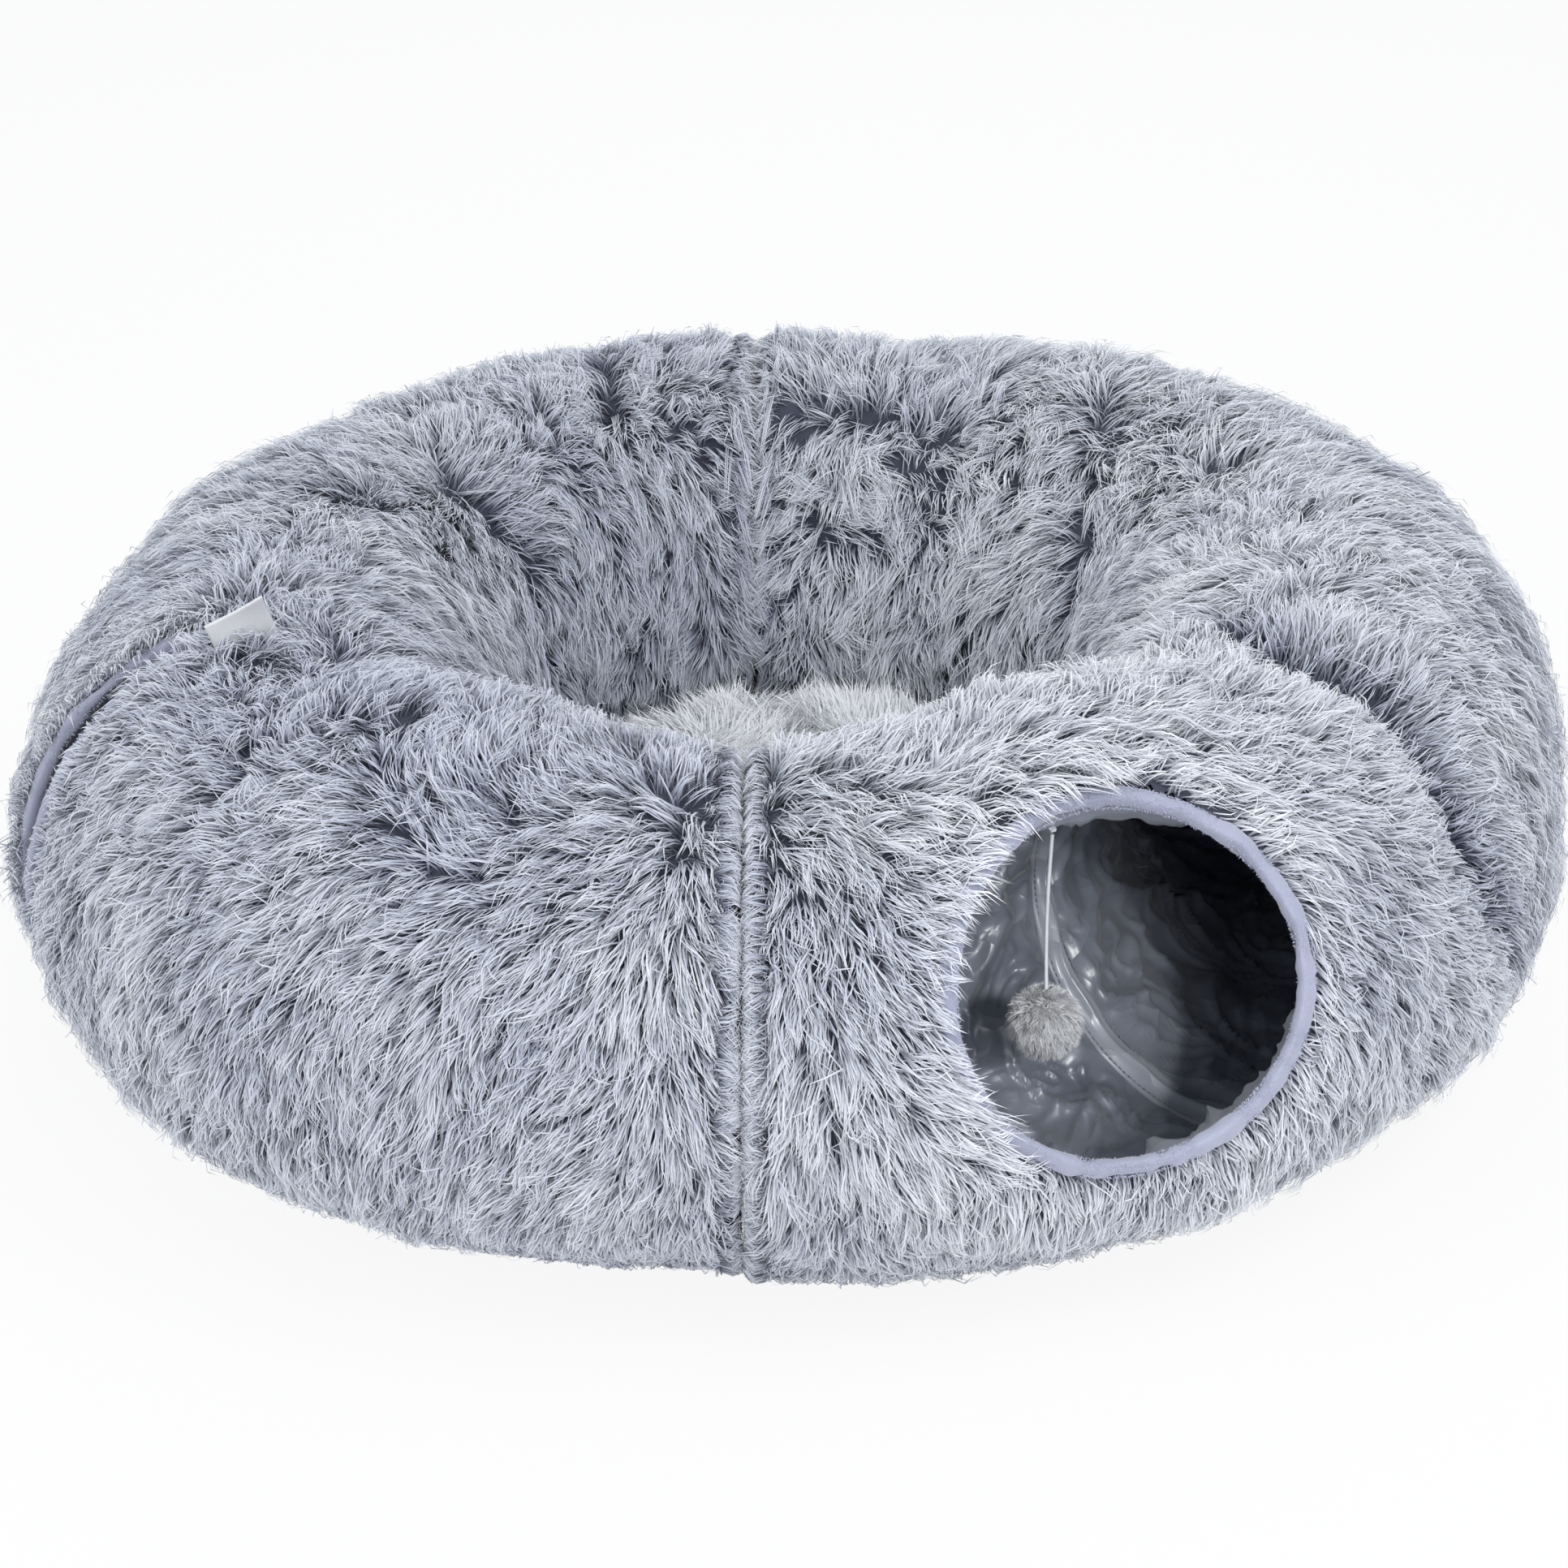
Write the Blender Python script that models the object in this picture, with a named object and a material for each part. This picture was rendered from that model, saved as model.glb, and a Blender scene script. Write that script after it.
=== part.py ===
"""Plush cat tunnel: two half rings zipped into one ring, with a round mat in the well.

Units are metres, +Z is up, -Y is the front. The origin is on the floor under the
middle of the ring. The two zips lie in one plane, square to X, left of the middle.
"""

from math import cos, floor, pi, radians, sin, sqrt

import bmesh
import bpy
import numpy as np
from mathutils import Matrix, Vector

# Clearance between pieces that touch
CLEARANCE = 0.0003
CUT_OVERRUN = 0.030

# Ring: one half bends round its own centre, past a straight stretch behind its zips. A quarter can bulge
# outwards between its zip and its side, as a share of the ring's radius
RING_RADIUS = 0.313
RIGHT_REACH = 0.468
LEFT_REACH = 0.423
STRAIGHT_LENGTH = 0.020
JOINT_X = (LEFT_REACH - RIGHT_REACH) / 2
RIGHT_REAR_BULGE = 0.06
LEFT_FRONT_BULGE = 0.05

# Tunnel wall, from the inside out
LINING_RADIUS = 0.1165
LINING_THICKNESS = 0.0015
PLUSH_THICKNESS = 0.012
SIDE_SWELL = 0.007
TOP_SWELL = 0.015
FLOOR_LIFT = 0.004
FOLD_DEPTH = 0.003
PLUSH_INNER_LIFT = LINING_THICKNESS + CLEARANCE
PLUSH_OUTER_LIFT = PLUSH_INNER_LIFT + PLUSH_THICKNESS
PLUSH_RADIUS = LINING_RADIUS + PLUSH_OUTER_LIFT
TUNNEL_HEIGHT = PLUSH_RADIUS + FLOOR_LIFT

# Plush end at a zip, rolled in to a hem
HEM_SETBACK = 0.006
HEM_ROLL = 0.005
HEM_EDGE_THICKNESS = 0.004

# Spring-steel hoops and the cloth casings that hold them to the lining
WIRE_DIAMETER = 0.0024
CASING_HALF_WIDTH = 0.011
CASING_WALL = 0.0012
CASING_NOTCH_HALF_WIDTH = 0.0019

# Zips: coil, tape, slider and pull
TAPE_THICKNESS = 0.0011
TAPE_EDGE = 0.0018
TAPE_REACH = 0.0125
COIL_WIDTH = 0.0012
COIL_HEIGHT = 0.0018
COIL_INNER_EDGE = 0.0005
SLIDER_LENGTH = 0.011
SLIDER_WIDTH = 0.009
SLIDER_PLATE = 0.001
SLIDER_OPENING = 0.0036
SLIDER_DIVIDER = 0.0004
SLIDER_LOWER_LIFT = -0.0013
BAIL_BAR = 0.001
BAIL_INNER_LENGTH = 0.003
BAIL_INNER_HEIGHT = 0.0023
PULL_LENGTH = 0.024
PULL_WIDTH = 0.0056
PULL_THICKNESS = 0.0011
PULL_WINDOW_WIDTH = 0.0024
PULL_CLEARANCE = 0.0004
ZIP_STOP_LENGTH = 0.002

# Cat openings, measured as angles on the ring and round the tunnel
RIGHT_OPENING_HALF_WIDTH = 0.090
RIGHT_OPENING_HALF_HEIGHT = 0.084
RIGHT_OPENING_ANGLE = radians(-66)
RIGHT_OPENING_TURN = radians(30)
LEFT_OPENING_HALF_WIDTH = 0.058
LEFT_OPENING_HALF_HEIGHT = 0.098
LEFT_OPENING_ANGLE = radians(-17)
LEFT_OPENING_TURN = radians(37)
BINDING_WIDTH = 0.008
BINDING_STAND = 0.001
BINDING_CLEARANCE = 0.0006
BINDING_TUCK = 0.006

# Toy on its cord, under the top edge of the right opening
TOY_ANGLE = radians(-66.5)
TOY_SETBACK = 0.0183
TOY_DIAMETER = 0.039
CORD_DIAMETER = 0.002
CORD_LENGTH = 0.088
KNOT_DIAMETER = 0.005

# Bare side label by the left opening
LABEL_WIDTH = 0.030
LABEL_HEIGHT = 0.024
LABEL_THICKNESS = 0.001
LABEL_LEAN = radians(8)
LABEL_ANGLE = radians(-28)

# Mat: plush cover, loose filling and a cloth base
MAT_GAP = 0.0159
MAT_HEIGHT = 0.092
MAT_COVER_THICKNESS = 0.005
MAT_BASE_THICKNESS = 0.002

# Mesh counts
ROUND_COUNT = 24
LONG_SECTION_CELLS = 8
SHORT_SECTION_CELLS = 6
LONG_SECTION_ANGLE = radians(60)
OPENING_COUNT = 28
PLUG_ROWS = 6
WIRE_SIDES = 4
MAT_SIDES = 32
LABEL_FLAT = 11
TOY_SIDES = 16
TOY_RINGS = 10
KNOT_SIDES = 12
KNOT_RINGS = 8
CORD_POINTS = 16

# Shares
HEM_BLEND_SHARES = ((0.0, 0.0), (0.8, 0.55), (2.0, 0.92))
BINDING_PROFILE_SHARES = ((1.0, 0.0), (1.0, 0.88), (0.7, 1.0), (0.3, 1.0), (0.0, 0.86), (0.0, 0.0))
MAT_PROFILE_SHARES = (
    (0.95, 0.0),
    (1.0, 0.22),
    (0.995, 0.50),
    (0.955, 0.74),
    (0.86, 0.90),
    (0.68, 0.975),
    (0.36, 1.0),
)

ROUND_ANGLES = [-pi / 2 + 2 * pi * k / ROUND_COUNT for k in range(ROUND_COUNT)]
ZIP_START, ZIP_END = 1, 21

HALVES = {
    "right": {
        "side": 1,
        "reach": RIGHT_REACH,
        "bulges": (0.0, RIGHT_REAR_BULGE),
        "hoops": [radians(-90), radians(-42), radians(24), radians(90)],
    },
    "left": {
        "side": -1,
        "reach": LEFT_REACH,
        "bulges": (LEFT_FRONT_BULGE, 0.0),
        "hoops": [radians(-90), radians(-37), radians(37), radians(90)],
    },
}
SECTION_NAMES = ("front", "middle", "rear")
HOOP_NAMES = ("front_end", "front_mid", "rear_mid", "rear_end")
OPENINGS = {
    "right": {
        "section": 0,
        "angle": RIGHT_OPENING_ANGLE,
        "turn": RIGHT_OPENING_TURN,
        "half_width": RIGHT_OPENING_HALF_WIDTH,
        "half_height": RIGHT_OPENING_HALF_HEIGHT,
    },
    "left": {
        "section": 1,
        "angle": LEFT_OPENING_ANGLE,
        "turn": LEFT_OPENING_TURN,
        "half_width": LEFT_OPENING_HALF_WIDTH,
        "half_height": LEFT_OPENING_HALF_HEIGHT,
    },
}


def clear_scene():
    for item in list(bpy.data.objects):
        bpy.data.objects.remove(item, do_unlink=True)


def material(name, colour, roughness, metallic=0.0):
    made = bpy.data.materials.get(name)
    if made:
        return made
    made = bpy.data.materials.new(name)
    made.use_nodes = True
    shader = made.node_tree.nodes["Principled BSDF"]
    shader.inputs["Base Color"].default_value = (*colour, 1.0)
    shader.inputs["Roughness"].default_value = roughness
    shader.inputs["Metallic"].default_value = metallic
    return made


def plush():
    return material("grey_plush", (0.48, 0.52, 0.58), 0.95)


def white_plush():
    return material("white_plush", (0.80, 0.82, 0.85), 0.95)


def satin():
    return material("grey_satin", (0.12, 0.13, 0.16), 0.42)


def casing_cloth():
    return material("casing_cloth", (0.24, 0.25, 0.29), 0.6)


def velour():
    return material("lavender_velour", (0.60, 0.62, 0.76), 0.9)


def steel():
    return material("spring_steel", (0.55, 0.56, 0.58), 0.35, 1.0)


def zip_cloth():
    return material("zip_tape", (0.07, 0.08, 0.11), 0.8)


def zip_nylon():
    return material("zip_coil", (0.06, 0.06, 0.08), 0.45)


def zip_metal():
    return material("zip_metal", (0.35, 0.36, 0.40), 0.35, 1.0)


def label_cloth():
    return material("label_cloth", (0.88, 0.88, 0.90), 0.7)


def base_cloth():
    return material("base_cloth", (0.22, 0.23, 0.26), 0.85)


def filling():
    return material("filling", (0.90, 0.90, 0.88), 1.0)


def add_mesh(name, points, faces, look, origin=(0, 0, 0), smooth=True):
    """Make one closed solid from world points, with the object's origin at the given place."""
    mesh = bpy.data.meshes.new(name)
    start = Vector(origin)
    mesh.from_pydata([tuple(Vector(p) - start) for p in points], [], faces)
    work = bmesh.new()
    work.from_mesh(mesh)
    bmesh.ops.recalc_face_normals(work, faces=work.faces)
    work.to_mesh(mesh)
    work.free()
    if smooth:
        mesh.shade_smooth()
        mesh.set_sharp_from_angle(angle=radians(40))
    made = bpy.data.objects.new(name, mesh)
    made.location = start
    made.data.materials.append(look)
    bpy.context.scene.collection.objects.link(made)
    return made


def loop_faces(rows, count, closed_rows, closed_count, first=0):
    """Quads between neighbouring rows of count points each."""
    faces = []
    for i in range(rows if closed_rows else rows - 1):
        j = (i + 1) % rows
        for k in range(count if closed_count else count - 1):
            m = (k + 1) % count
            a, b = first + i * count, first + j * count
            faces.append((a + k, b + k, b + m, a + m))
    return faces


def bend_share(half):
    """How far the ring's bend is drawn in or out along X, so that the half reaches its full width."""
    outer = STRAIGHT_LENGTH + PLUSH_RADIUS + SIDE_SWELL
    return (half["reach"] - outer) / RING_RADIUS


def well_radius():
    """Clear radius inside the ring, by its depth or its width, whichever is smaller."""
    across = (RIGHT_REACH + LEFT_REACH) / 2 - PLUSH_RADIUS - SIDE_SWELL
    return min(RING_RADIUS, across) - PLUSH_RADIUS - SIDE_SWELL


def bend_centre(half):
    return Vector((JOINT_X + half["side"] * STRAIGHT_LENGTH, 0, 0))


def tunnel_point(half, station, turn, lift, full=True):
    """A point at the station (ring centre, ring angle, swell, fold), round the tunnel by turn, lifted off the
    lining's inner face. With full, the plush's swell and folds are added."""
    centre, angle, swell, fold = station
    outward, upward = LINING_RADIUS + lift, LINING_RADIUS + lift
    if full:
        outward += SIDE_SWELL * swell + FOLD_DEPTH * fold * max(0.0, -cos(turn))
        upward += TOP_SWELL * swell
    off = outward * cos(turn)
    height = max(TUNNEL_HEIGHT + upward * sin(turn), PLUSH_OUTER_LIFT - lift)
    radius = RING_RADIUS * (1 + half["bulges"][angle > 0] * sin(2 * angle) ** 2)
    x = centre + (bend_share(half) * radius + off) * cos(angle)
    y = (radius + off) * sin(angle)
    return Vector((JOINT_X + half["side"] * x, y, height))


def section_cells(half, section):
    span = half["hoops"][section + 1] - half["hoops"][section]
    return LONG_SECTION_CELLS if span > LONG_SECTION_ANGLE else SHORT_SECTION_CELLS


def make_stations(half):
    """Stations from the front zip to the rear zip, and the index of each hoop among them."""
    stations = [(0.0, radians(-90), 0.0, 0.0)]
    hoops = []
    for section in range(len(SECTION_NAMES)):
        start, end = half["hoops"][section], half["hoops"][section + 1]
        cells = section_cells(half, section)
        hoops.append(len(stations))
        for k in range(cells):
            share = k / cells
            stations.append((STRAIGHT_LENGTH, start + (end - start) * share, sin(pi * share), k % 2))
    hoops.append(len(stations))
    stations.append((STRAIGHT_LENGTH, radians(90), 0.0, 0.0))
    stations.append((0.0, radians(90), 0.0, 0.0))
    return stations, hoops


def prepare_halves():
    """Fine stations carry the plush, and every second one the lining, the casings and the hoops."""
    for half in HALVES.values():
        half["fine"], half["fine_hoops"] = make_stations(half)
        kept = [0]
        kept += list(range(half["fine_hoops"][0], half["fine_hoops"][-1] + 1, 2))
        kept.append(len(half["fine"]) - 1)
        half["coarse"] = [half["fine"][k] for k in kept]
        half["coarse_hoops"] = [kept.index(k) for k in half["fine_hoops"]]


def skin_point(half, grid, place, turn, lift):
    """A point on the faceted skin, between two stations of the fine or the coarse grid."""
    stations = half[grid]
    low = min(max(int(floor(place)), 0), len(stations) - 2)
    full = grid == "fine"
    a = tunnel_point(half, stations[low], turn, lift, full)
    b = tunnel_point(half, stations[low + 1], turn, lift, full)
    return a.lerp(b, place - low)


def cell_length(half, grid, index, radius=RING_RADIUS):
    """Length of the cell that starts at the station with this index."""
    a, b = half[grid][index], half[grid][index + 1]
    if a[1] == b[1]:
        return STRAIGHT_LENGTH
    return abs(b[1] - a[1]) * radius


def place_beside(half, grid, index, distance, radius=RING_RADIUS):
    """The place along the grid at a signed distance from a station."""
    cell = index if distance > 0 else index - 1
    return index + distance / cell_length(half, grid, cell, radius)


def shell(name, half, grid, places, inner_lift, outer_lifts, look, origin):
    """A tunnel wall through the places, open at both ends."""
    points = []
    for place, outer in zip(places, outer_lifts):
        points += [skin_point(half, grid, place, turn, outer) for turn in ROUND_ANGLES]
    for place in places:
        points += [skin_point(half, grid, place, turn, inner_lift) for turn in ROUND_ANGLES]
    rows, first = len(places), len(places) * ROUND_COUNT
    faces = loop_faces(rows, ROUND_COUNT, False, True)
    faces += loop_faces(rows, ROUND_COUNT, False, True, first)
    for row in (0, rows - 1):
        for k in range(ROUND_COUNT):
            m = (k + 1) % ROUND_COUNT
            base = row * ROUND_COUNT
            faces.append((base + k, base + m, first + base + m, first + base + k))
    return add_mesh(name, points, faces, look, origin)


def section_places(half, grid, section):
    """Places of one panel, a hair short of the panels beside it."""
    hoops = half[grid + "_hoops"]
    start, end = hoops[section], hoops[section + 1]
    places = [float(k) for k in range(start, end + 1)]
    if section > 0:
        places[0] = place_beside(half, grid, start, CLEARANCE / 2, well_radius())
    if section < len(SECTION_NAMES) - 1:
        places[-1] = place_beside(half, grid, end, -CLEARANCE / 2, well_radius())
    return places


def plush_panel(name, half, section, origin):
    places = section_places(half, "fine", section)
    lifts = [PLUSH_OUTER_LIFT] * len(places)
    rolled = PLUSH_THICKNESS - HEM_EDGE_THICKNESS
    hem = []
    for along, high in HEM_BLEND_SHARES:
        hem.append((HEM_SETBACK + HEM_ROLL * along, PLUSH_OUTER_LIFT - rolled * (1 - high)))
    if section == 0:
        places = [distance / STRAIGHT_LENGTH for distance, _ in hem] + places
        lifts = [lift for _, lift in hem] + lifts
    if section == len(SECTION_NAMES) - 1:
        last = len(half["fine"]) - 1
        places += [last - distance / STRAIGHT_LENGTH for distance, _ in reversed(hem)]
        lifts += [lift for _, lift in reversed(hem)]
    return shell(name, half, "fine", places, PLUSH_INNER_LIFT, lifts, plush(), origin)


def lining_panel(name, half, section, origin):
    places = section_places(half, "coarse", section)
    edge = (TAPE_REACH + CLEARANCE) / STRAIGHT_LENGTH
    if section == 0:
        places = [edge] + places
    if section == len(SECTION_NAMES) - 1:
        places.append(len(half["coarse"]) - 1 - edge)
    lifts = [LINING_THICKNESS] * len(places)
    return shell(name, half, "coarse", places, 0.0, lifts, satin(), origin)


def opening_point(half, opening, spread, share, lift):
    """A point on the opening's wall, spread outwards from the clear hole, at a share of its way round."""
    side_radius = RING_RADIUS + PLUSH_RADIUS * cos(opening["turn"])
    turn = 2 * pi * share
    across = (opening["half_width"] + spread) / side_radius
    around = (opening["half_height"] + spread) / PLUSH_RADIUS
    angle = opening["angle"] + across * cos(turn)
    height_angle = opening["turn"] + around * sin(turn)
    station = (STRAIGHT_LENGTH, angle, 0.0, 0.0)
    return tunnel_point(half, station, height_angle, lift, False), angle, height_angle


def opening_shares():
    return [(k + 0.5) / OPENING_COUNT for k in range(OPENING_COUNT)]


def opening_cutter(name, half, opening):
    """A closed plug along the opening's wall, past both sides of the tunnel wall."""
    spread = BINDING_WIDTH + BINDING_CLEARANCE
    depth = PLUSH_OUTER_LIFT + 2 * CUT_OVERRUN
    lifts = [-CUT_OVERRUN + depth * row / (PLUG_ROWS - 1) for row in range(PLUG_ROWS)]
    points = []
    for lift in lifts:
        points += [opening_point(half, opening, spread, share, lift)[0] for share in opening_shares()]
    faces = loop_faces(PLUG_ROWS, OPENING_COUNT, False, True)
    middle = (STRAIGHT_LENGTH, opening["angle"], 0.0, 0.0)
    for row in (0, PLUG_ROWS - 1):
        points.append(tunnel_point(half, middle, opening["turn"], lifts[row], False))
        hub = len(points) - 1
        first = row * OPENING_COUNT
        faces += [(first + k, first + (k + 1) % OPENING_COUNT, hub) for k in range(OPENING_COUNT)]
    made = add_mesh(name, points, faces, plush(), smooth=False)
    made.hide_render = True
    made.display_type = "WIRE"
    return made


def cut(target, cutter):
    step = target.modifiers.new("opening", "BOOLEAN")
    step.operation = "DIFFERENCE"
    step.solver = "EXACT"
    step.object = cutter


def section_swell(half, angle):
    """Swell of the plush at a ring angle, read from the hoops on both sides."""
    hoops = half["hoops"]
    for start, end in zip(hoops, hoops[1:]):
        if start <= angle <= end:
            return sin(pi * (angle - start) / (end - start))
    return 0.0


def binding(name, half, opening, origin):
    """Velour ring that closes the cut edge of plush and lining round an opening."""
    points = []
    for share in opening_shares():
        _, angle, height_angle = opening_point(half, opening, BINDING_WIDTH, share, 0.0)
        swell = section_swell(half, angle)
        stand = SIDE_SWELL * cos(height_angle) ** 2 + TOP_SWELL * sin(height_angle) ** 2
        top = PLUSH_OUTER_LIFT + swell * stand + BINDING_STAND
        for wide, high in BINDING_PROFILE_SHARES:
            lift = -BINDING_TUCK + (top + BINDING_TUCK) * high
            points.append(opening_point(half, opening, BINDING_WIDTH * wide, share, lift)[0])
    faces = loop_faces(OPENING_COUNT, len(BINDING_PROFILE_SHARES), True, True)
    return add_mesh(name, points, faces, velour(), origin)


def band(name, half, index, profile, look, origin):
    """A ring that follows the lining at a hoop, with its profile as (distance along, lift) pairs."""
    points = []
    for turn in ROUND_ANGLES:
        for distance, lift in profile:
            place = place_beside(half, "coarse", index, distance) if distance else float(index)
            points.append(skin_point(half, "coarse", place, turn, lift))
    return add_mesh(name, points, loop_faces(ROUND_COUNT, len(profile), True, True), look, origin)


def hoop(name, half, index, origin):
    radius = WIRE_DIAMETER / 2
    middle = -CLEARANCE - radius
    profile = []
    for k in range(WIRE_SIDES):
        turn = pi / 2 + 2 * pi * k / WIRE_SIDES
        profile.append((radius * cos(turn), middle + radius * sin(turn)))
    return band(name, half, index, profile, steel(), origin)


def casing(name, half, index, origin):
    notch = 2 * CLEARANCE + WIRE_DIAMETER
    profile = [
        (-CASING_HALF_WIDTH, -CLEARANCE),
        (-CASING_NOTCH_HALF_WIDTH, -CLEARANCE),
        (-CASING_NOTCH_HALF_WIDTH, -notch),
        (CASING_NOTCH_HALF_WIDTH, -notch),
        (CASING_NOTCH_HALF_WIDTH, -CLEARANCE),
        (CASING_HALF_WIDTH, -CLEARANCE),
        (0.0, -notch - CASING_WALL),
    ]
    return band(name, half, index, profile, casing_cloth(), origin)


def zip_arc(name, half, end, profile, look, origin):
    """A strip along one side of a zip, open at the bottom. The profile is (distance from the joint, lift)."""
    angle = radians(90) * end
    turns = ROUND_ANGLES[ZIP_START:ZIP_END + 1]
    points = []
    for turn in turns:
        for distance, lift in profile:
            points.append(tunnel_point(half, (distance, angle, 0.0, 0.0), turn, lift, False))
    count = len(profile)
    faces = loop_faces(len(turns), count, False, True)
    faces.append(tuple(range(count)))
    last = (len(turns) - 1) * count
    faces.append(tuple(range(last, last + count)))
    return add_mesh(name, points, faces, look, origin)


def zip_side(prefix, half_name, end, origin):
    half = HALVES[half_name]
    tape_bottom = LINING_THICKNESS - TAPE_THICKNESS
    tape = [
        (TAPE_EDGE, tape_bottom),
        (TAPE_REACH, tape_bottom),
        (TAPE_REACH, LINING_THICKNESS),
        (TAPE_EDGE, LINING_THICKNESS),
    ]
    zip_arc(f"{prefix}_zip_{half_name}_tape", half, end, tape, zip_cloth(), origin)
    centre = (tape_bottom + LINING_THICKNESS) / 2
    low, high = centre - COIL_HEIGHT / 2, centre + COIL_HEIGHT / 2
    outer_edge = min(COIL_INNER_EDGE + COIL_WIDTH, TAPE_EDGE - CLEARANCE)
    middle = (COIL_INNER_EDGE + outer_edge) / 2
    coil = [(COIL_INNER_EDGE, centre), (middle, high), (outer_edge, centre), (middle, low)]
    zip_arc(f"{prefix}_zip_{half_name}_coil", half, end, coil, zip_nylon(), origin)


def box_points(low, high):
    sides = list(zip(low, high))
    return [Vector((x, y, z)) for x in sides[0] for y in sides[1] for z in sides[2]]


BOX_FACES = [(0, 1, 3, 2), (4, 6, 7, 5), (0, 4, 5, 1), (2, 3, 7, 6), (0, 2, 6, 4), (1, 5, 7, 3)]


def join_boxes(name, boxes, look, frame):
    """Boxes that overlap, joined into one solid by Boolean unions, in a local frame."""
    parts = []
    for k, (low, high) in enumerate(boxes):
        part = add_mesh(f"{name}_{k}" if k else name, box_points(low, high), BOX_FACES, look, smooth=False)
        parts.append(part)
    whole = parts[0]
    for part in parts[1:]:
        step = whole.modifiers.new(part.name, "BOOLEAN")
        step.operation = "UNION"
        step.solver = "EXACT"
        step.object = part
        part.hide_render = True
        part.display_type = "WIRE"
        part.matrix_world = frame
    whole.matrix_world = frame
    return whole


def zip_frame(end, turn):
    """Frame on a zip's ring centre: X along the object's X, Z outwards at this turn round the ring."""
    outward = Vector((0, end * cos(turn), sin(turn)))
    across = Vector((1, 0, 0))
    along = outward.cross(across)
    axes = Matrix((across, along, outward)).transposed().to_4x4()
    return Matrix.Translation((JOINT_X, end * RING_RADIUS, TUNNEL_HEIGHT)) @ axes


def slider_and_pull(prefix, end):
    """Slider at rest at the closed end of its chain, low on the well side, with its pull hanging."""
    turn = ROUND_ANGLES[ZIP_END] - (SLIDER_LENGTH / 2 + ZIP_STOP_LENGTH) / LINING_RADIUS
    frame = zip_frame(end, turn)
    bottom = LINING_RADIUS + SLIDER_LOWER_LIFT - SLIDER_PLATE
    top = bottom + 2 * SLIDER_PLATE + SLIDER_OPENING
    half_width, half_length = SLIDER_WIDTH / 2, SLIDER_LENGTH / 2
    divider, bar = SLIDER_DIVIDER / 2, BAIL_BAR / 2
    bail = BAIL_INNER_LENGTH / 2
    arch = top + BAIL_INNER_HEIGHT
    root = top - SLIDER_PLATE / 2
    boxes = [
        ((-half_width, -half_length, top - SLIDER_PLATE), (half_width, half_length, top)),
        ((-half_width, -half_length, bottom), (half_width, half_length, bottom + SLIDER_PLATE)),
        ((-divider, -half_length, bottom + SLIDER_PLATE / 2), (divider, half_length, root)),
        ((-bar, bail, root), (bar, bail + BAIL_BAR, arch + bar)),
        ((-bar, -bail - BAIL_BAR, root), (bar, -bail, arch + bar)),
        ((-bar, -bail - BAIL_BAR, arch), (bar, bail + BAIL_BAR, arch + BAIL_BAR)),
    ]
    join_boxes(f"{prefix}_zip_slider", boxes, zip_metal(), frame)

    half_bar = PULL_THICKNESS / 2
    swing_radius = sqrt(2) * half_bar
    axis_height = top + swing_radius + PULL_CLEARANCE
    reach = sqrt((bail + BAIL_BAR) ** 2 + (arch + BAIL_BAR - axis_height) ** 2) + PULL_CLEARANCE
    axis_place = frame @ Vector((0, 0, axis_height))
    pull_frame = Matrix.Translation(axis_place) @ Matrix.Rotation(radians(90), 4, "X")
    half_pull, half_window = PULL_WIDTH / 2, PULL_WINDOW_WIDTH / 2
    plate = ((-half_pull, -PULL_LENGTH, -half_bar), (half_pull, half_bar, half_bar))
    window = ((-half_window, -reach, -PULL_LENGTH), (half_window, -half_bar, PULL_LENGTH))
    pull = add_mesh(f"{prefix}_zip_pull", box_points(*plate), BOX_FACES, zip_metal(), smooth=False)
    cutter = add_mesh(f"{prefix}_pull_window", box_points(*window), BOX_FACES, zip_metal(), smooth=False)
    cutter.hide_render = True
    cutter.display_type = "WIRE"
    cut(pull, cutter)
    pull.matrix_world = pull_frame
    cutter.matrix_world = pull_frame


def turned_solid(name, profile, look, origin, sides):
    """A solid turned about the vertical through the origin, from (radius, height) pairs. A zero radius is a
    pole."""
    points, rows, faces = [], [], []
    for radius, height in profile:
        rows.append(len(points))
        if radius == 0:
            points.append(Vector((0, 0, height)))
            continue
        for k in range(sides):
            turn = 2 * pi * k / sides
            points.append(Vector((radius * cos(turn), radius * sin(turn), height)))
    for i, (low, high) in enumerate(zip(profile, profile[1:])):
        for k in range(sides):
            m = (k + 1) % sides
            a, b = rows[i], rows[i + 1]
            if low[0] == 0:
                faces.append((a, b + m, b + k))
            elif high[0] == 0:
                faces.append((a + k, a + m, b))
            else:
                faces.append((a + k, a + m, b + m, b + k))
    placed = [p + Vector(origin) for p in points]
    return add_mesh(name, placed, faces, look, origin)


def mat_profile(inset, low, high):
    """Half outline of the mat's top, from its lower edge to the crown's pole."""
    radius, rise = well_radius() - MAT_GAP, high - low
    points = [(radius * wide - inset, low + rise * tall) for wide, tall in MAT_PROFILE_SHARES]
    return points + [(0, high)]


def mat():
    floor_gap = MAT_BASE_THICKNESS + CLEARANCE
    wall = MAT_COVER_THICKNESS
    base_radius = (well_radius() - MAT_GAP) * MAT_PROFILE_SHARES[0][0]
    outer = mat_profile(0, floor_gap, MAT_HEIGHT)
    inner = mat_profile(wall, floor_gap, MAT_HEIGHT - wall)
    turned_solid("mat_cover", list(reversed(outer)) + inner, white_plush(), (0, 0, 0), MAT_SIDES)
    loose = wall + CLEARANCE
    core = mat_profile(loose, floor_gap, MAT_HEIGHT - loose)
    turned_solid("mat_filling", [(0, floor_gap)] + core, filling(), (0, 0, 0), MAT_SIDES)
    base = [(0, 0), (base_radius, 0), (base_radius, MAT_BASE_THICKNESS), (0, MAT_BASE_THICKNESS)]
    turned_solid("mat_base", base, base_cloth(), (0, 0, 0), MAT_SIDES)


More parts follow.
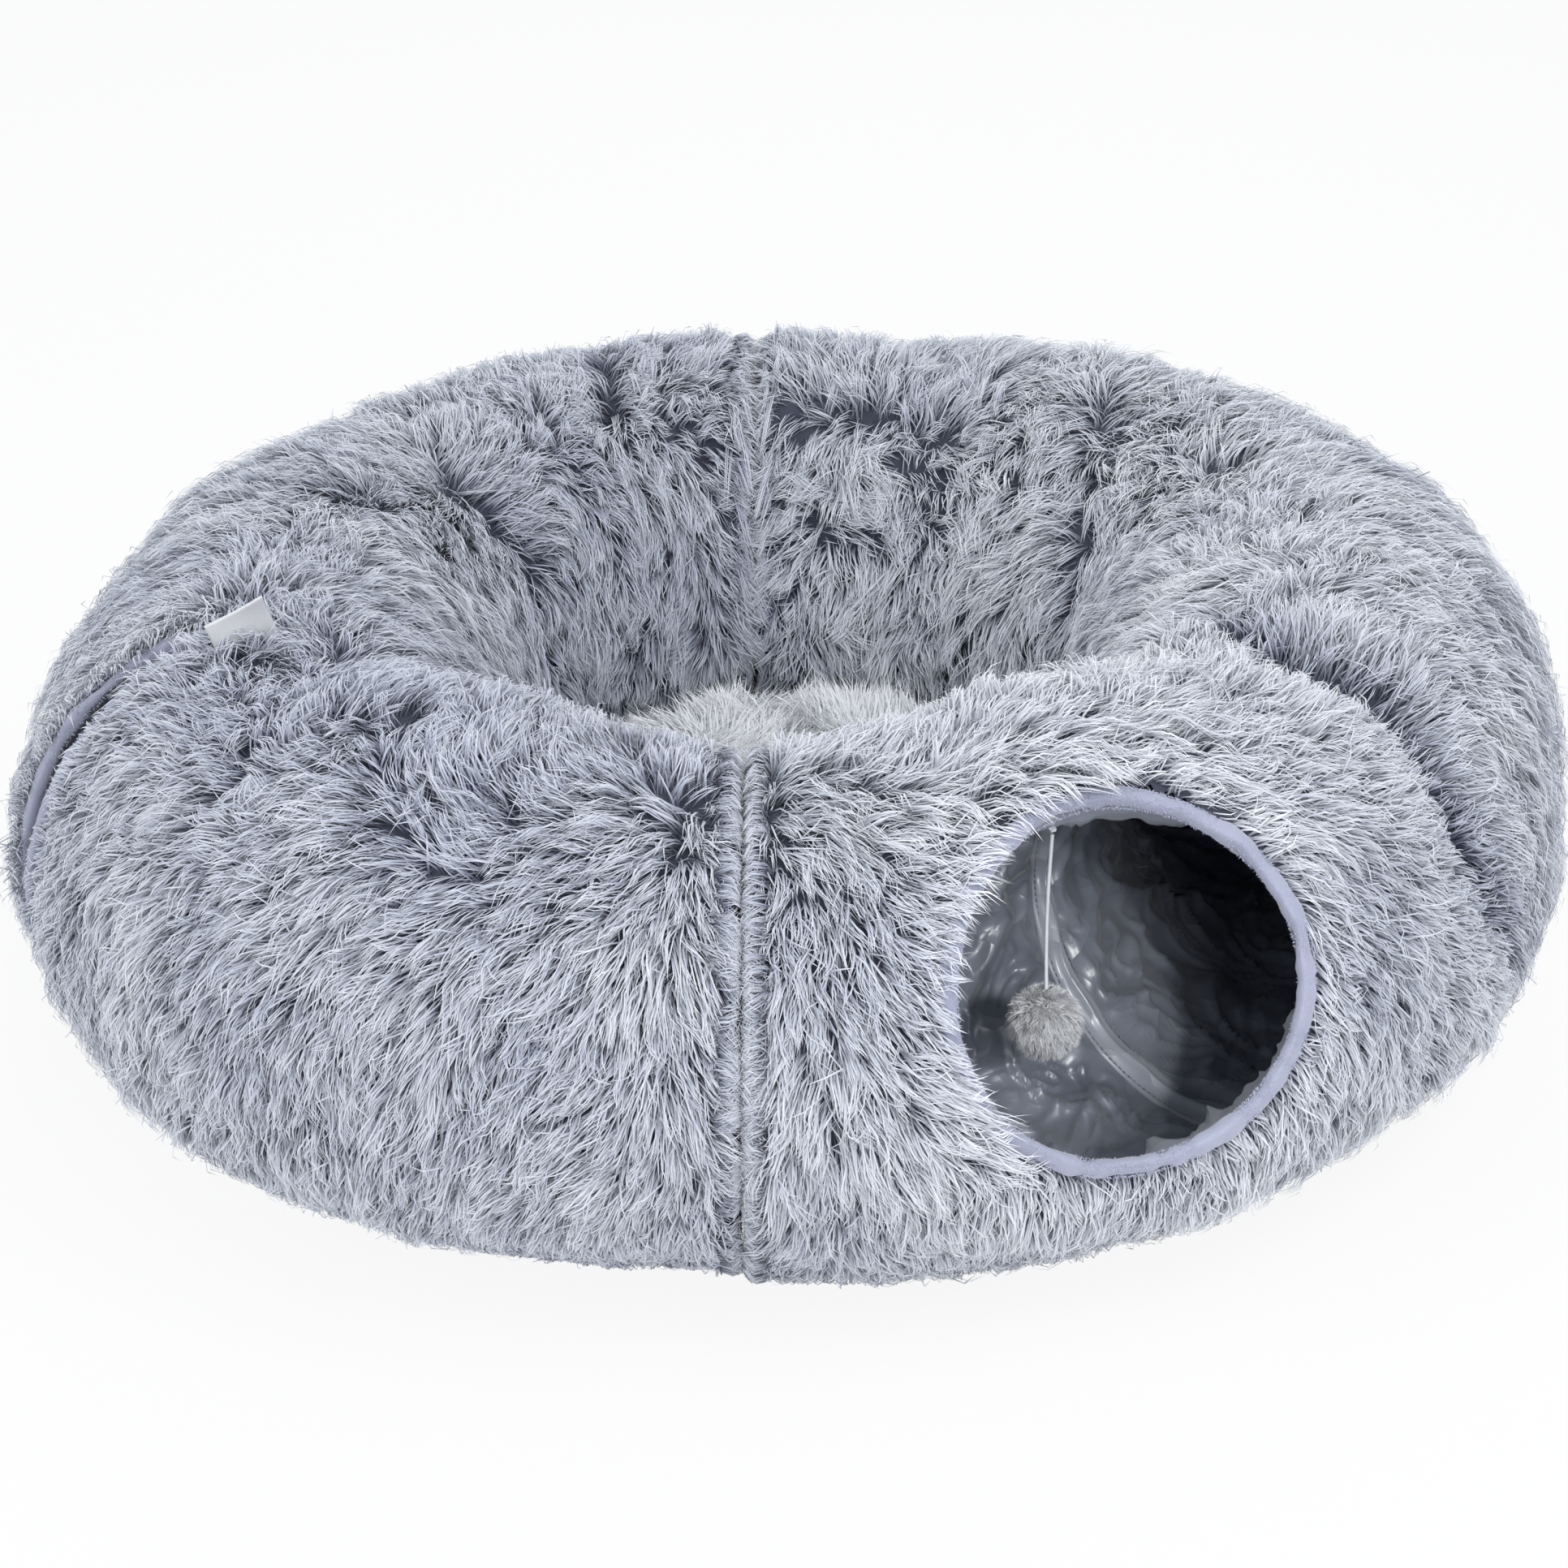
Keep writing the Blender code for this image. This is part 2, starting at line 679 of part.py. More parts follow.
def ball_profile(radius, middle, rings):
    profile = [(0, middle - radius)]
    for k in range(1, rings):
        turn = pi * k / rings
        profile.append((radius * sin(turn), middle - radius * cos(turn)))
    return profile + [(0, middle + radius)]


def toy():
    """Pom-pom on a cord that is knotted to the lining, under the top edge of the right opening. All three
    pieces have their origin in the knot, where the cord swings."""
    half = HALVES["right"]
    start = half["coarse_hoops"][0]
    cell_angle = half["coarse"][start + 1][1] - half["coarse"][start][1]
    place = start + (TOY_ANGLE - half["coarse"][start][1]) / cell_angle
    knot_radius = KNOT_DIAMETER / 2
    dip = (knot_radius + CLEARANCE) / cos(pi / ROUND_COUNT)
    turn = RIGHT_OPENING_TURN + (RIGHT_OPENING_HALF_HEIGHT + TOY_SETBACK) / PLUSH_RADIUS
    pivot = skin_point(half, "coarse", place, turn, -dip)
    turned_solid("toy_knot", ball_profile(knot_radius, 0, KNOT_RINGS), white_plush(), pivot, KNOT_SIDES)

    top = -knot_radius - CLEARANCE
    curve = bpy.data.curves.new("toy_cord", "CURVE")
    curve.dimensions = "3D"
    curve.bevel_depth = CORD_DIAMETER / 2
    curve.bevel_resolution = 2
    curve.use_fill_caps = True
    spline = curve.splines.new("POLY")
    spline.points.add(CORD_POINTS - 1)
    for k, point in enumerate(spline.points):
        point.co = (0, 0, top - CORD_LENGTH * k / (CORD_POINTS - 1), 1)
    cord = bpy.data.objects.new("toy_cord", curve)
    cord.location = pivot
    curve.materials.append(white_plush())
    bpy.context.scene.collection.objects.link(cord)

    radius = TOY_DIAMETER / 2
    middle = top - CORD_LENGTH - CLEARANCE - radius
    turned_solid("toy_pompom", ball_profile(radius, middle, TOY_RINGS), white_plush(), pivot, TOY_SIDES)


def label():
    """Bare folded label beside the left opening, standing on one flat of the plush."""
    half = HALVES["left"]
    start = half["fine_hoops"][OPENINGS["left"]["section"]]
    cell_angle = half["fine"][start + 1][1] - half["fine"][start][1]
    place = start + (LABEL_ANGLE - half["fine"][start][1]) / cell_angle
    lift = PLUSH_OUTER_LIFT + CLEARANCE
    low = skin_point(half, "fine", place, ROUND_ANGLES[LABEL_FLAT], lift)
    high = skin_point(half, "fine", place, ROUND_ANGLES[LABEL_FLAT + 1], lift)
    along = (high - low).normalized()
    middle = (low + high) / 2
    ahead = skin_point(half, "fine", place + 0.5, ROUND_ANGLES[LABEL_FLAT], lift) - low
    outward = along.cross(ahead).normalized()
    if outward.z < 0:
        outward = -outward
    lean = Matrix.Rotation(LABEL_LEAN, 3, along)
    outward = lean @ outward
    across = outward.cross(along)
    rise = LABEL_THICKNESS / 2 * sin(abs(LABEL_LEAN))
    points = []
    for wide in (-LABEL_WIDTH / 2, LABEL_WIDTH / 2):
        for thick in (-LABEL_THICKNESS / 2, LABEL_THICKNESS / 2):
            for tall in (rise, rise + LABEL_HEIGHT):
                points.append(middle + along * wide + across * thick + outward * tall)
    add_mesh("side_label", points, BOX_FACES, label_cloth(), (0, 0, 0), smooth=False)


def main():
    clear_scene()
    prepare_halves()
    for half_name, half in HALVES.items():
        origin = bend_centre(half)
        opening = OPENINGS[half_name]
        plug = opening_cutter(f"{half_name}_opening_plug", half, opening)
        for section, section_name in enumerate(SECTION_NAMES):
            panel = plush_panel(f"{half_name}_{section_name}_plush", half, section, origin)
            lining = lining_panel(f"{half_name}_{section_name}_lining", half, section, origin)
            if section == opening["section"]:
                cut(panel, plug)
                cut(lining, plug)
        for index, hoop_name in zip(half["coarse_hoops"], HOOP_NAMES):
            hoop(f"{half_name}_{hoop_name}_hoop", half, index, origin)
            casing(f"{half_name}_{hoop_name}_casing", half, index, origin)
        binding(f"{half_name}_opening_binding", half, opening, origin)
        zip_side("front", half_name, -1, origin)
        zip_side("rear", half_name, 1, origin)
    slider_and_pull("front", -1)
    slider_and_pull("rear", 1)
    mat()
    toy()
    label()


main()
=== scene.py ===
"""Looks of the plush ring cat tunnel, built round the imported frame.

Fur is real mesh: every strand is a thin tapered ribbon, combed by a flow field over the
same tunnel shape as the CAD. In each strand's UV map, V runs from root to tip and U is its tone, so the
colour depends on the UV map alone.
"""
from math import cos, inf, pi, radians, sin, sqrt

import bmesh
import bpy
import numpy as np
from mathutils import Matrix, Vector


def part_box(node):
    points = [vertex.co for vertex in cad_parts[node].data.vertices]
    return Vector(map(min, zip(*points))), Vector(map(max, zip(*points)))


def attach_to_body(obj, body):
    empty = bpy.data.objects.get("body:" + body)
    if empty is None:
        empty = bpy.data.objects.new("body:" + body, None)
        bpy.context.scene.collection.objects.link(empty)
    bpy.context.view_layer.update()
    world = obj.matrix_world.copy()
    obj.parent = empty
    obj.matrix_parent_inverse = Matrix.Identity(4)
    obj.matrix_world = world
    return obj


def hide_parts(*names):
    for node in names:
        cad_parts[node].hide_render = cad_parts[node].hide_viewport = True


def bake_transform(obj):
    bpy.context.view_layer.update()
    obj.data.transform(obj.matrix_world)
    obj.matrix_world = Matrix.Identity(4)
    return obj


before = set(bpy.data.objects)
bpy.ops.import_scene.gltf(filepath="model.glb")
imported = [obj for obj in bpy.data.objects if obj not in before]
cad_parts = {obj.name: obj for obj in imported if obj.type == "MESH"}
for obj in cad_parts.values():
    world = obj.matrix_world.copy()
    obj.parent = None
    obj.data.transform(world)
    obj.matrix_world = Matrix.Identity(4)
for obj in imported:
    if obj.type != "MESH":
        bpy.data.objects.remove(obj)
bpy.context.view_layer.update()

# Camera
CAMERA_PLACE = (0.0, -1.752, 0.964)
CAMERA_PITCH = radians(25.74)
CAMERA_LENS = 74.05
CAMERA_SHIFT = -0.0029

camera_data = bpy.data.cameras.new("camera")
camera_data.sensor_width = 36.0
camera_data.lens = CAMERA_LENS
camera_data.shift_x = CAMERA_SHIFT
camera_data.clip_start = 0.05
camera = bpy.data.objects.new("camera", camera_data)
camera.location = CAMERA_PLACE
camera.rotation_euler = (pi / 2 - CAMERA_PITCH, 0, 0)
bpy.context.scene.collection.objects.link(camera)
bpy.context.scene.camera = camera
bpy.context.scene.view_settings.view_transform = "Standard"

# The tunnel's shape, as in the CAD, in metres. A half runs along from its front joint to its rear one, past
# the ring angles -90 to 90 degrees. A turn goes round the tunnel: 0 is the outer side, 90 degrees the top.
RING = 0.313
JOINT_X = -0.0225
STRAIGHT = 0.020
BORE = 0.1165
SKIN = 0.0138
OUTER = BORE + SKIN
SIDE_SWELL = 0.007
TOP_SWELL = 0.015
AXIS_Z = 0.1343
HIGH_Z, HIGH_ROOM = 0.302, 0.010
SKIN_LOW = 0.0022
UNDER_BINDING = SKIN - 0.0015
FLARE_REACH, FLARE_CURVE = 0.026, 1.25
LEAST_SPREAD = 0.7
LENGTH = 2 * STRAIGHT + pi * RING
REACH_LESS = STRAIGHT + BORE + SKIN + SIDE_SWELL
RIGHT_REACH, LEFT_REACH = 0.468, 0.423
HALVES = {
    "right": {
        "side": 1, "bend": (RIGHT_REACH - REACH_LESS) / RING, "bulges": (0.0, 0.06),
        "hoops": [radians(a) for a in (-90, -42, 24, 90)],
    },
    "left": {
        "side": -1, "bend": (LEFT_REACH - REACH_LESS) / RING, "bulges": (0.05, 0.0),
        "hoops": [radians(a) for a in (-90, -37, 37, 90)],
    },
}
SECTIONS = ("front", "middle", "rear")
HOOPS = ("front_end", "front_mid", "rear_mid", "rear_end")
# Half an opening's width on its front and its rear side, and half its height, as it droops in the photograph
OPENINGS = {
    "right": {
        "section": 0, "angle": radians(-66), "turn": radians(30),
        "near": 0.097, "far": 0.091, "height": 0.087,
    },
    "left": {
        "section": 1, "angle": radians(-23.4), "turn": radians(38),
        "near": 0.007, "far": 0.017, "height": 0.098,
    },
}

# The bodies that each section lies between, or rides on
BENDS = {
    ("right", 0): ("right_half",),
    ("right", 1): ("right_half", "right_mid"),
    ("right", 2): ("right_mid", "right_rear_end"),
    ("left", 0): ("left_half", "left_front_end"),
    ("left", 1): ("left_half",),
    ("left", 2): ("left_half", "left_rear_end"),
}
HOOP_BODIES = {
    ("right", 0): "right_half", ("right", 1): "right_half", ("right", 2): "right_mid",
    ("right", 3): "right_rear_end", ("left", 0): "left_front_end", ("left", 1): "left_half",
    ("left", 2): "left_half", ("left", 3): "left_rear_end",
}


def ring_angle(along):
    return np.clip((along - STRAIGHT) / RING, 0, pi) - pi / 2


def along_at(angle):
    return STRAIGHT + (angle + pi / 2) * RING


def swell_at(half, angle):
    hoops = np.array(HALVES[half]["hoops"])
    k = np.clip(np.searchsorted(hoops, angle, side="right") - 1, 0, 2)
    share = (angle - hoops[k]) / (hoops[k + 1] - hoops[k])
    return np.sin(pi * np.clip(share, 0, 1))


def place(half, along, turn, lift, swelled=1.0, floor=0.0006):
    """World points for a place along the half, a turn round the tunnel and a lift off the bore."""
    along, turn, lift = np.broadcast_arrays(np.asarray(along, float), turn, lift)
    angle = ring_angle(along)
    from_zip = np.where(along > LENGTH / 2, LENGTH - along, along)
    centre = np.minimum(from_zip, STRAIGHT)
    swell = swell_at(half, angle) * swelled
    front, rear = HALVES[half]["bulges"]
    ring = RING * (1 + np.where(angle > 0, rear, front) * np.sin(2 * angle) ** 2)
    off = (BORE + lift + SIDE_SWELL * swell) * np.cos(turn)
    z = AXIS_Z + (BORE + lift + TOP_SWELL * swell * (np.sin(turn) > 0)) * np.sin(turn)
    z = np.where(z > HIGH_Z, HIGH_Z + HIGH_ROOM * np.tanh((z - HIGH_Z) / HIGH_ROOM), z)
    x = centre + (HALVES[half]["bend"] * ring + off) * np.cos(angle)
    y = (ring + off) * np.sin(angle)
    return np.stack([JOINT_X + HALVES[half]["side"] * x, y, np.maximum(z, floor)], -1)


def smooth(value):
    value = np.clip(value, 0, 1)
    return value * value * (3 - 2 * value)


def hump(value, middle, width):
    return np.exp(-((value - middle) / width) ** 2)


def underneath(turn):
    """Share of the tuck under the ring, 0 above and 1 below."""
    return smooth((radians(-18) - turn) / radians(28))


def zip_distance(along):
    return np.minimum(along, LENGTH - along)


def side_radius(half):
    """Radius of the ring at the height of the half's opening."""
    return RING + OUTER * cos(OPENINGS[half]["turn"])


def hole_width(half, across):
    """Half the opening's width, on the side that this distance across is on."""
    return np.where(across > 0, OPENINGS[half]["far"], OPENINGS[half]["near"])


def hole_parts(half, along, turn):
    """Distances from the opening's middle, along the half and round the tunnel."""
    opening = OPENINGS[half]
    return (ring_angle(along) - opening["angle"]) * side_radius(half), (turn - opening["turn"]) * OUTER


def hole_way(half, along, turn):
    """Direction from the opening's middle: 0 is rearward, 90 degrees upward."""
    across, around = hole_parts(half, along, turn)
    return np.arctan2(around, across)


def hole_spread(half, along, turn):
    """Distance outside the clear hole of the half's opening; negative inside it."""
    across, around = hole_parts(half, along, turn)
    width, height = hole_width(half, across), OPENINGS[half]["height"]
    round_it = np.arctan2(around / height, across / width)
    step_a = across - width * np.cos(round_it)
    step_t = around - height * np.sin(round_it)
    inside = np.hypot(across / width, around / height) < 1
    slope_a, slope_t = np.cos(round_it) / width, np.sin(round_it) / height
    straight_out = (step_a * slope_a + step_t * slope_t) / np.hypot(slope_a, slope_t)
    return np.where(inside, straight_out, np.maximum(straight_out, np.hypot(step_a, step_t) * LEAST_SPREAD))


def hole_point(half, spread, share, lift):
    """World points round the opening: this far out from the clear hole, at a share of its way round."""
    opening = OPENINGS[half]
    turn = 2 * pi * np.asarray(share)
    width, height = hole_width(half, np.cos(turn)), opening["height"]
    slope_a, slope_t = np.cos(turn) / width, np.sin(turn) / height
    steep = np.hypot(slope_a, slope_t)
    across = width * np.cos(turn) + spread * slope_a / steep
    around = height * np.sin(turn) + spread * slope_t / steep
    angle = opening["angle"] + across / side_radius(half)
    high = opening["turn"] + around / OUTER
    return place(half, along_at(angle), high, swollen(half, angle, high, lift), 0.0)


def swollen(half, angle, turn, lift):
    """A lift off the bore that shares the plush's swell as it nears the outer skin."""
    stand = SIDE_SWELL * np.cos(turn) ** 2 + TOP_SWELL * np.clip(np.sin(turn), 0, 1) ** 2
    return np.where(lift > 0, lift * (1 + swell_at(half, angle) * stand / SKIN), lift)


def flare(spread):
    """How far the lining rises off the bore to meet the binding of an opening."""
    return SKIN * np.clip(1 - np.maximum(spread, 0) / FLARE_REACH, 0, 1) ** FLARE_CURVE


# The deep fold of the right half: its ring angles at these turns
VALLEY_TURNS = np.radians((-10, 23, 46, 65, 86, 108))
VALLEY_ANGLES = np.radians((-28, -34, -34, -32, -36, -31))


def valley(half, along, turn):
    """Distance past the deep fold, negative on its front side, and how deep the fold is here, 0 to 1."""
    fold = np.interp(turn, VALLEY_TURNS, VALLEY_ANGLES)
    past = (ring_angle(along) - fold) * (RING + BORE * np.cos(turn))
    deep = smooth((turn + radians(22)) / radians(26)) * smooth((radians(122) - turn) / radians(24))
    return past, deep * (half == "right")


# How far the crest stands up: everywhere, more at the front and at the rear, over a joint and less over the
# front one, and less in the dip beside the front joint
CREST_ALL, CREST_FRONT, CREST_REAR = 0.005, 0.011, 0.008
CREST_JOINT, JOINT_FRONT, CREST_DIP = 0.013, 0.008, 0.010
REAR_JOINT_RISE = 0.009
TUCKED_IN = {"left": 0.0058, "right": 0.0005}
PARTING_DENT = 0.0045
FOLD_DENT, FOLD_LIP = 0.014, 0.004
# Bulges and dents of each half: how high, then the middle and width in turn and in ring angle, in degrees
BULGES = {
    "right": [
        (0.003, 66, 40, 46, 22), (0.015, 66, 40, 20, 20), (0.014, 30, 32, 14, 26),
        (-0.0035, 30, 32, -26, 20), (0.009, -28, 26, -28, 38),
    ],
    "left": [
        (0.006, 66, 40, 30, 20), (-0.0015, -28, 26, 0, inf), (-0.007, 66, 40, 2, 20),
        (-0.004, 66, 40, 58, 20), (0.005, -15, 25, 0, 25), (-0.005, 30, 32, 0, 25),
    ],
}


def puff(half, along, turn):
    """How far the stuffed skin stands off the CAD's: higher over the joints and the rear, tucked in below."""
    angle = ring_angle(along)
    rear = smooth((np.degrees(angle) - 5) / 50)
    if half == "left":
        rear = rear * smooth((np.degrees(angle) - 35) / 45)
    joint = hump(zip_distance(along), 0, 0.040)
    front = smooth(-np.sin(angle) * 1.6)
    crest = hump(turn, radians(94) + radians(10) * front, radians(44))
    dip = hump(zip_distance(along), 0.085, 0.050) * front
    high = CREST_ALL + CREST_FRONT * front * (1 - joint) + (CREST_JOINT - JOINT_FRONT * front) * joint
    rise = crest * (high + CREST_REAR * rear - CREST_DIP * dip)
    tuck = TUCKED_IN[half] - 0.002 * joint * (half == "left")
    rise = rise - tuck * underneath(turn)
    for height, *where in BULGES[half]:
        turn_at, turn_wide, angle_at, angle_wide = np.radians(where)
        rise = rise + height * hump(turn, turn_at, turn_wide) * hump(angle, angle_at, angle_wide)
    rise = rise + REAR_JOINT_RISE * crest * hump(zip_distance(along), 0.02, 0.060) * (angle > 0)
    past, deep = valley(half, along, turn)
    rise = rise - deep * (FOLD_DENT * hump(past, 0.012, 0.030) - FOLD_LIP * hump(past, -0.022, 0.030))
    return rise - PARTING_DENT * parted(half, along, turn)[2]


def skin_lift(half, along, turn):
    """Lift of the cloth under the fur, turned in at the zips and raised to the bindings."""
    edge = np.sin(np.clip((zip_distance(along) - 0.005) / 0.011, 0, 1) * pi / 2)
    lift = SKIN_LOW + (SKIN - 0.005 - SKIN_LOW + puff(half, along, turn)) * edge
    spread = hole_spread(half, along, turn)
    lift = lift + np.maximum(UNDER_BINDING - lift, 0) * smooth(1 - spread / 0.030)
    near = flare(spread)
    return np.maximum(lift, np.where(near > 0, np.minimum(near + 0.0026, UNDER_BINDING), 0.0))


def waves(size, seed, count=14):
    """A smooth random field: a function of world points, about -1 to 1, with features of this size."""
    pick = np.random.default_rng(seed)
    way = pick.normal(size=(count, 3))
    way /= np.linalg.norm(way, axis=1)[:, None]
    way *= 2 * pi / size * pick.uniform(0.6, 1.3, (count, 1))
    phase = pick.uniform(0, 2 * pi, count)

    def field(points):
        flat = points.reshape(-1, 3)
        total = np.zeros(len(flat))
        for k in range(count):
            total += np.sin(flat @ way[k] + phase[k])
        return (total / sqrt(count / 2)).reshape(points.shape[:-1])
    return field


# Materials
def new_material(name):
    made = bpy.data.materials.new(name)
    made.use_nodes = True
    tree = made.node_tree
    return made, tree, tree.nodes["Principled BSDF"]


def set_sockets(made, **values):
    """Set a node's inputs by name, with _ for each space."""
    for name, value in values.items():
        made.inputs[name.replace("_", " ")].default_value = value
    return made


def node(tree, kind, **values):
    return set_sockets(tree.nodes.new(kind), **values)


def feed(tree, socket, value):
    """Link an output to a socket, or set the socket to a number or to a colour of three numbers."""
    if isinstance(value, bpy.types.NodeSocket):
        tree.links.new(value, socket)
    elif isinstance(value, tuple):
        socket.default_value = (*value, 1.0)
    else:
        socket.default_value = value


def maths(tree, operation, *values):
    made = tree.nodes.new("ShaderNodeMath")
    made.operation = operation
    for socket, value in zip(made.inputs, values):
        feed(tree, socket, value)
    return made.outputs["Value"]


def ramp(tree, factor, stops):
    made = tree.nodes.new("ShaderNodeValToRGB")
    elements = made.color_ramp.elements
    while len(elements) < len(stops):
        elements.new(0.5)
    for element, (place_on, colour) in zip(elements, stops):
        element.position = place_on
        element.color = (*colour, 1.0)
    tree.links.new(factor, made.inputs["Fac"])
    return made.outputs["Color"]


def mix(tree, factor, a, b, blend="MIX"):
    made = tree.nodes.new("ShaderNodeMix")
    made.data_type = "RGBA"
    made.blend_type = blend
    for name, value in (("Factor", factor), ("A", a), ("B", b)):
        feed(tree, made.inputs[name], value)
    return made.outputs["Result"]


def noise(tree, vector, scale, detail=3.0, roughness=0.55):
    made = node(tree, "ShaderNodeTexNoise", Scale=scale, Detail=detail, Roughness=roughness)
    tree.links.new(vector, made.inputs["Vector"])
    return made.outputs["Fac"]


def object_coords(tree, stretch=(1, 1, 1)):
    coords = tree.nodes.new("ShaderNodeTexCoord")
    mapping = node(tree, "ShaderNodeMapping", Scale=stretch)
    tree.links.new(coords.outputs["Object"], mapping.inputs["Vector"])
    return mapping.outputs["Vector"]


def bump(tree, shader, height, strength, distance):
    made = node(tree, "ShaderNodeBump", Strength=strength, Distance=distance)
    tree.links.new(height, made.inputs["Height"])
    tree.links.new(made.outputs["Normal"], shader.inputs["Normal"])


def fur_material(name, dark_stops, light_stops, roughness=0.75):
    """Strand colour from its UV map: V from root to tip, U from the dark to the light tone."""
    made, tree, shader = new_material(name)
    uv = tree.nodes.new("ShaderNodeUVMap")
    uv.uv_map = "OFBake"
    split = tree.nodes.new("ShaderNodeSeparateXYZ")
    tree.links.new(uv.outputs["UV"], split.inputs["Vector"])
    dark = ramp(tree, split.outputs["Y"], dark_stops)
    light = ramp(tree, split.outputs["Y"], light_stops)
    tree.links.new(mix(tree, split.outputs["X"], dark, light), shader.inputs["Base Color"])
    set_sockets(shader, Roughness=roughness, Specular_IOR_Level=0.25, Sheen_Weight=0.25, Sheen_Roughness=0.5)
    return made


GREY_FUR = fur_material(
    "grey_fur",
    [(0.0, (0.035, 0.041, 0.070)), (0.26, (0.085, 0.096, 0.150)),
     (0.56, (0.46, 0.49, 0.585)), (0.95, (0.76, 0.79, 0.87))],
    [(0.0, (0.19, 0.205, 0.250)), (0.20, (0.40, 0.42, 0.475)),
     (0.48, (0.73, 0.755, 0.805)), (0.90, (0.90, 0.91, 0.94))],
)
WHITE_FUR = fur_material(
    "white_fur",
    [(0.0, (0.62, 0.64, 0.68)), (0.4, (0.80, 0.82, 0.86)), (1.0, (0.92, 0.93, 0.95))],
    [(0.0, (0.72, 0.74, 0.77)), (0.4, (0.88, 0.90, 0.92)), (1.0, (0.97, 0.97, 0.98))],
)
BALL_FUR = fur_material(
    "ball_fur",
    [(0.0, (0.20, 0.19, 0.18)), (0.5, (0.44, 0.44, 0.45)), (1.0, (0.64, 0.65, 0.67))],
    [(0.0, (0.36, 0.355, 0.35)), (0.5, (0.62, 0.63, 0.64)), (1.0, (0.80, 0.81, 0.84))],
)


def cloth_material(name, low, high, roughness, weave, strength, sheen=0.0, distance=0.0004):
    """Cloth with a fine weave, slow colour change and a soft nap."""
    made, tree, shader = new_material(name)
    coords = object_coords(tree)
    slow = noise(tree, coords, 28.0, 4.0)
    fine = noise(tree, coords, weave, 2.0, 0.7)
    base = ramp(tree, slow, [(0.3, low), (0.7, high)])
    worn = ramp(tree, fine, [(0.3, (0.86, 0.86, 0.86)), (0.7, (1.0, 1.0, 1.0))])
    tree.links.new(mix(tree, 1.0, base, worn, "MULTIPLY"), shader.inputs["Base Color"])
    set_sockets(shader, Roughness=roughness, Sheen_Weight=sheen)
    bump(tree, shader, fine, strength, distance)
    return made


SKIN_CLOTH = cloth_material("backing_cloth", (0.035, 0.040, 0.062), (0.070, 0.078, 0.110), 0.95, 900.0, 0.4)
MAT_SKIN = cloth_material("mat_backing", (0.50, 0.52, 0.55), (0.62, 0.64, 0.67), 0.95, 900.0, 0.4)
BALL_SKIN = cloth_material("ball_core", (0.30, 0.28, 0.25), (0.42, 0.40, 0.37), 0.95, 1200.0, 0.4)
VELOUR = cloth_material("velour", (0.33, 0.35, 0.455), (0.39, 0.41, 0.53), 0.9, 1500.0, 0.5, 0.5)
LABEL = cloth_material("label_satin", (0.80, 0.80, 0.82), (0.88, 0.88, 0.90), 0.55, 2400.0, 0.4, 0.1)
BASE_CLOTH = cloth_material("base_cloth", (0.20, 0.21, 0.24), (0.26, 0.27, 0.30), 0.85, 1100.0, 0.5)
FILLING = cloth_material("wadding", (0.82, 0.82, 0.80), (0.92, 0.92, 0.90), 1.0, 220.0, 0.8)
CORD_CLOTH = cloth_material("cord_cloth", (0.72, 0.73, 0.78), (0.84, 0.85, 0.88), 0.7, 2600.0, 0.5, 0.2)
THREAD = cloth_material("thread", (0.30, 0.31, 0.36), (0.42, 0.43, 0.48), 0.6, 2600.0, 0.4)
VELOUR_THREAD = cloth_material("velour_thread", (0.44, 0.46, 0.62), (0.56, 0.58, 0.74), 0.6, 2600.0, 0.4)


FACET_SWAY = 0.07


def facets(tree, stretch, scale):
    """Crumpled facets with sharp ridges between them, as in a creased thin cloth."""
    coords = object_coords(tree, stretch)
    sway = node(tree, "ShaderNodeTexNoise", Scale=scale * 0.35)
    tree.links.new(coords, sway.inputs["Vector"])
    shifted = tree.nodes.new("ShaderNodeVectorMath")
    shifted.operation = "MULTIPLY_ADD"
    shifted.inputs[1].default_value = (FACET_SWAY,) * 3
    tree.links.new(sway.outputs["Color"], shifted.inputs[0])
    tree.links.new(coords, shifted.inputs[2])
    cells = node(tree, "ShaderNodeTexVoronoi", Scale=scale)
    tree.links.new(shifted.outputs["Vector"], cells.inputs["Vector"])
    return cells.outputs["Distance"]


def satin_material(name, low, high, roughness):
    """Thin shiny cloth, creased at two sizes, with painted shade in the bottoms of its folds."""
    made, tree, shader = new_material(name)
    slow = noise(tree, object_coords(tree), 14.0, 5.0, 0.6)
    crease = facets(tree, (1.0, 0.45, 1.5), 30.0)
    fold = facets(tree, (0.5, 1.2, 0.8), 17.0)
    base = ramp(tree, slow, [(0.3, low), (0.72, high)])
    # The fold cells darken the colour towards their bottoms: painted shade in the folds, on the satin and the
    # casings.
    stops = [(0.10, (0.62, 0.63, 0.66)), (0.40, (0.90, 0.91, 0.93)), (0.62, (1.0, 1.0, 1.0))]
    painted_fold_shade = ramp(tree, fold, stops)
    tree.links.new(mix(tree, 1.0, base, painted_fold_shade, "MULTIPLY"), shader.inputs["Base Color"])
    set_sockets(shader, Roughness=roughness, Specular_IOR_Level=1.0, Coat_Weight=0.15, Coat_Roughness=0.22,
                Sheen_Weight=0.15)
    bump(tree, shader, maths(tree, "MULTIPLY_ADD", crease, 0.45, fold), 0.80, 0.016)
    return made


SATIN = satin_material("satin", (0.225, 0.245, 0.298), (0.305, 0.330, 0.392), 0.36)
CASING = satin_material("casing", (0.42, 0.45, 0.515), (0.53, 0.56, 0.63), 0.34)


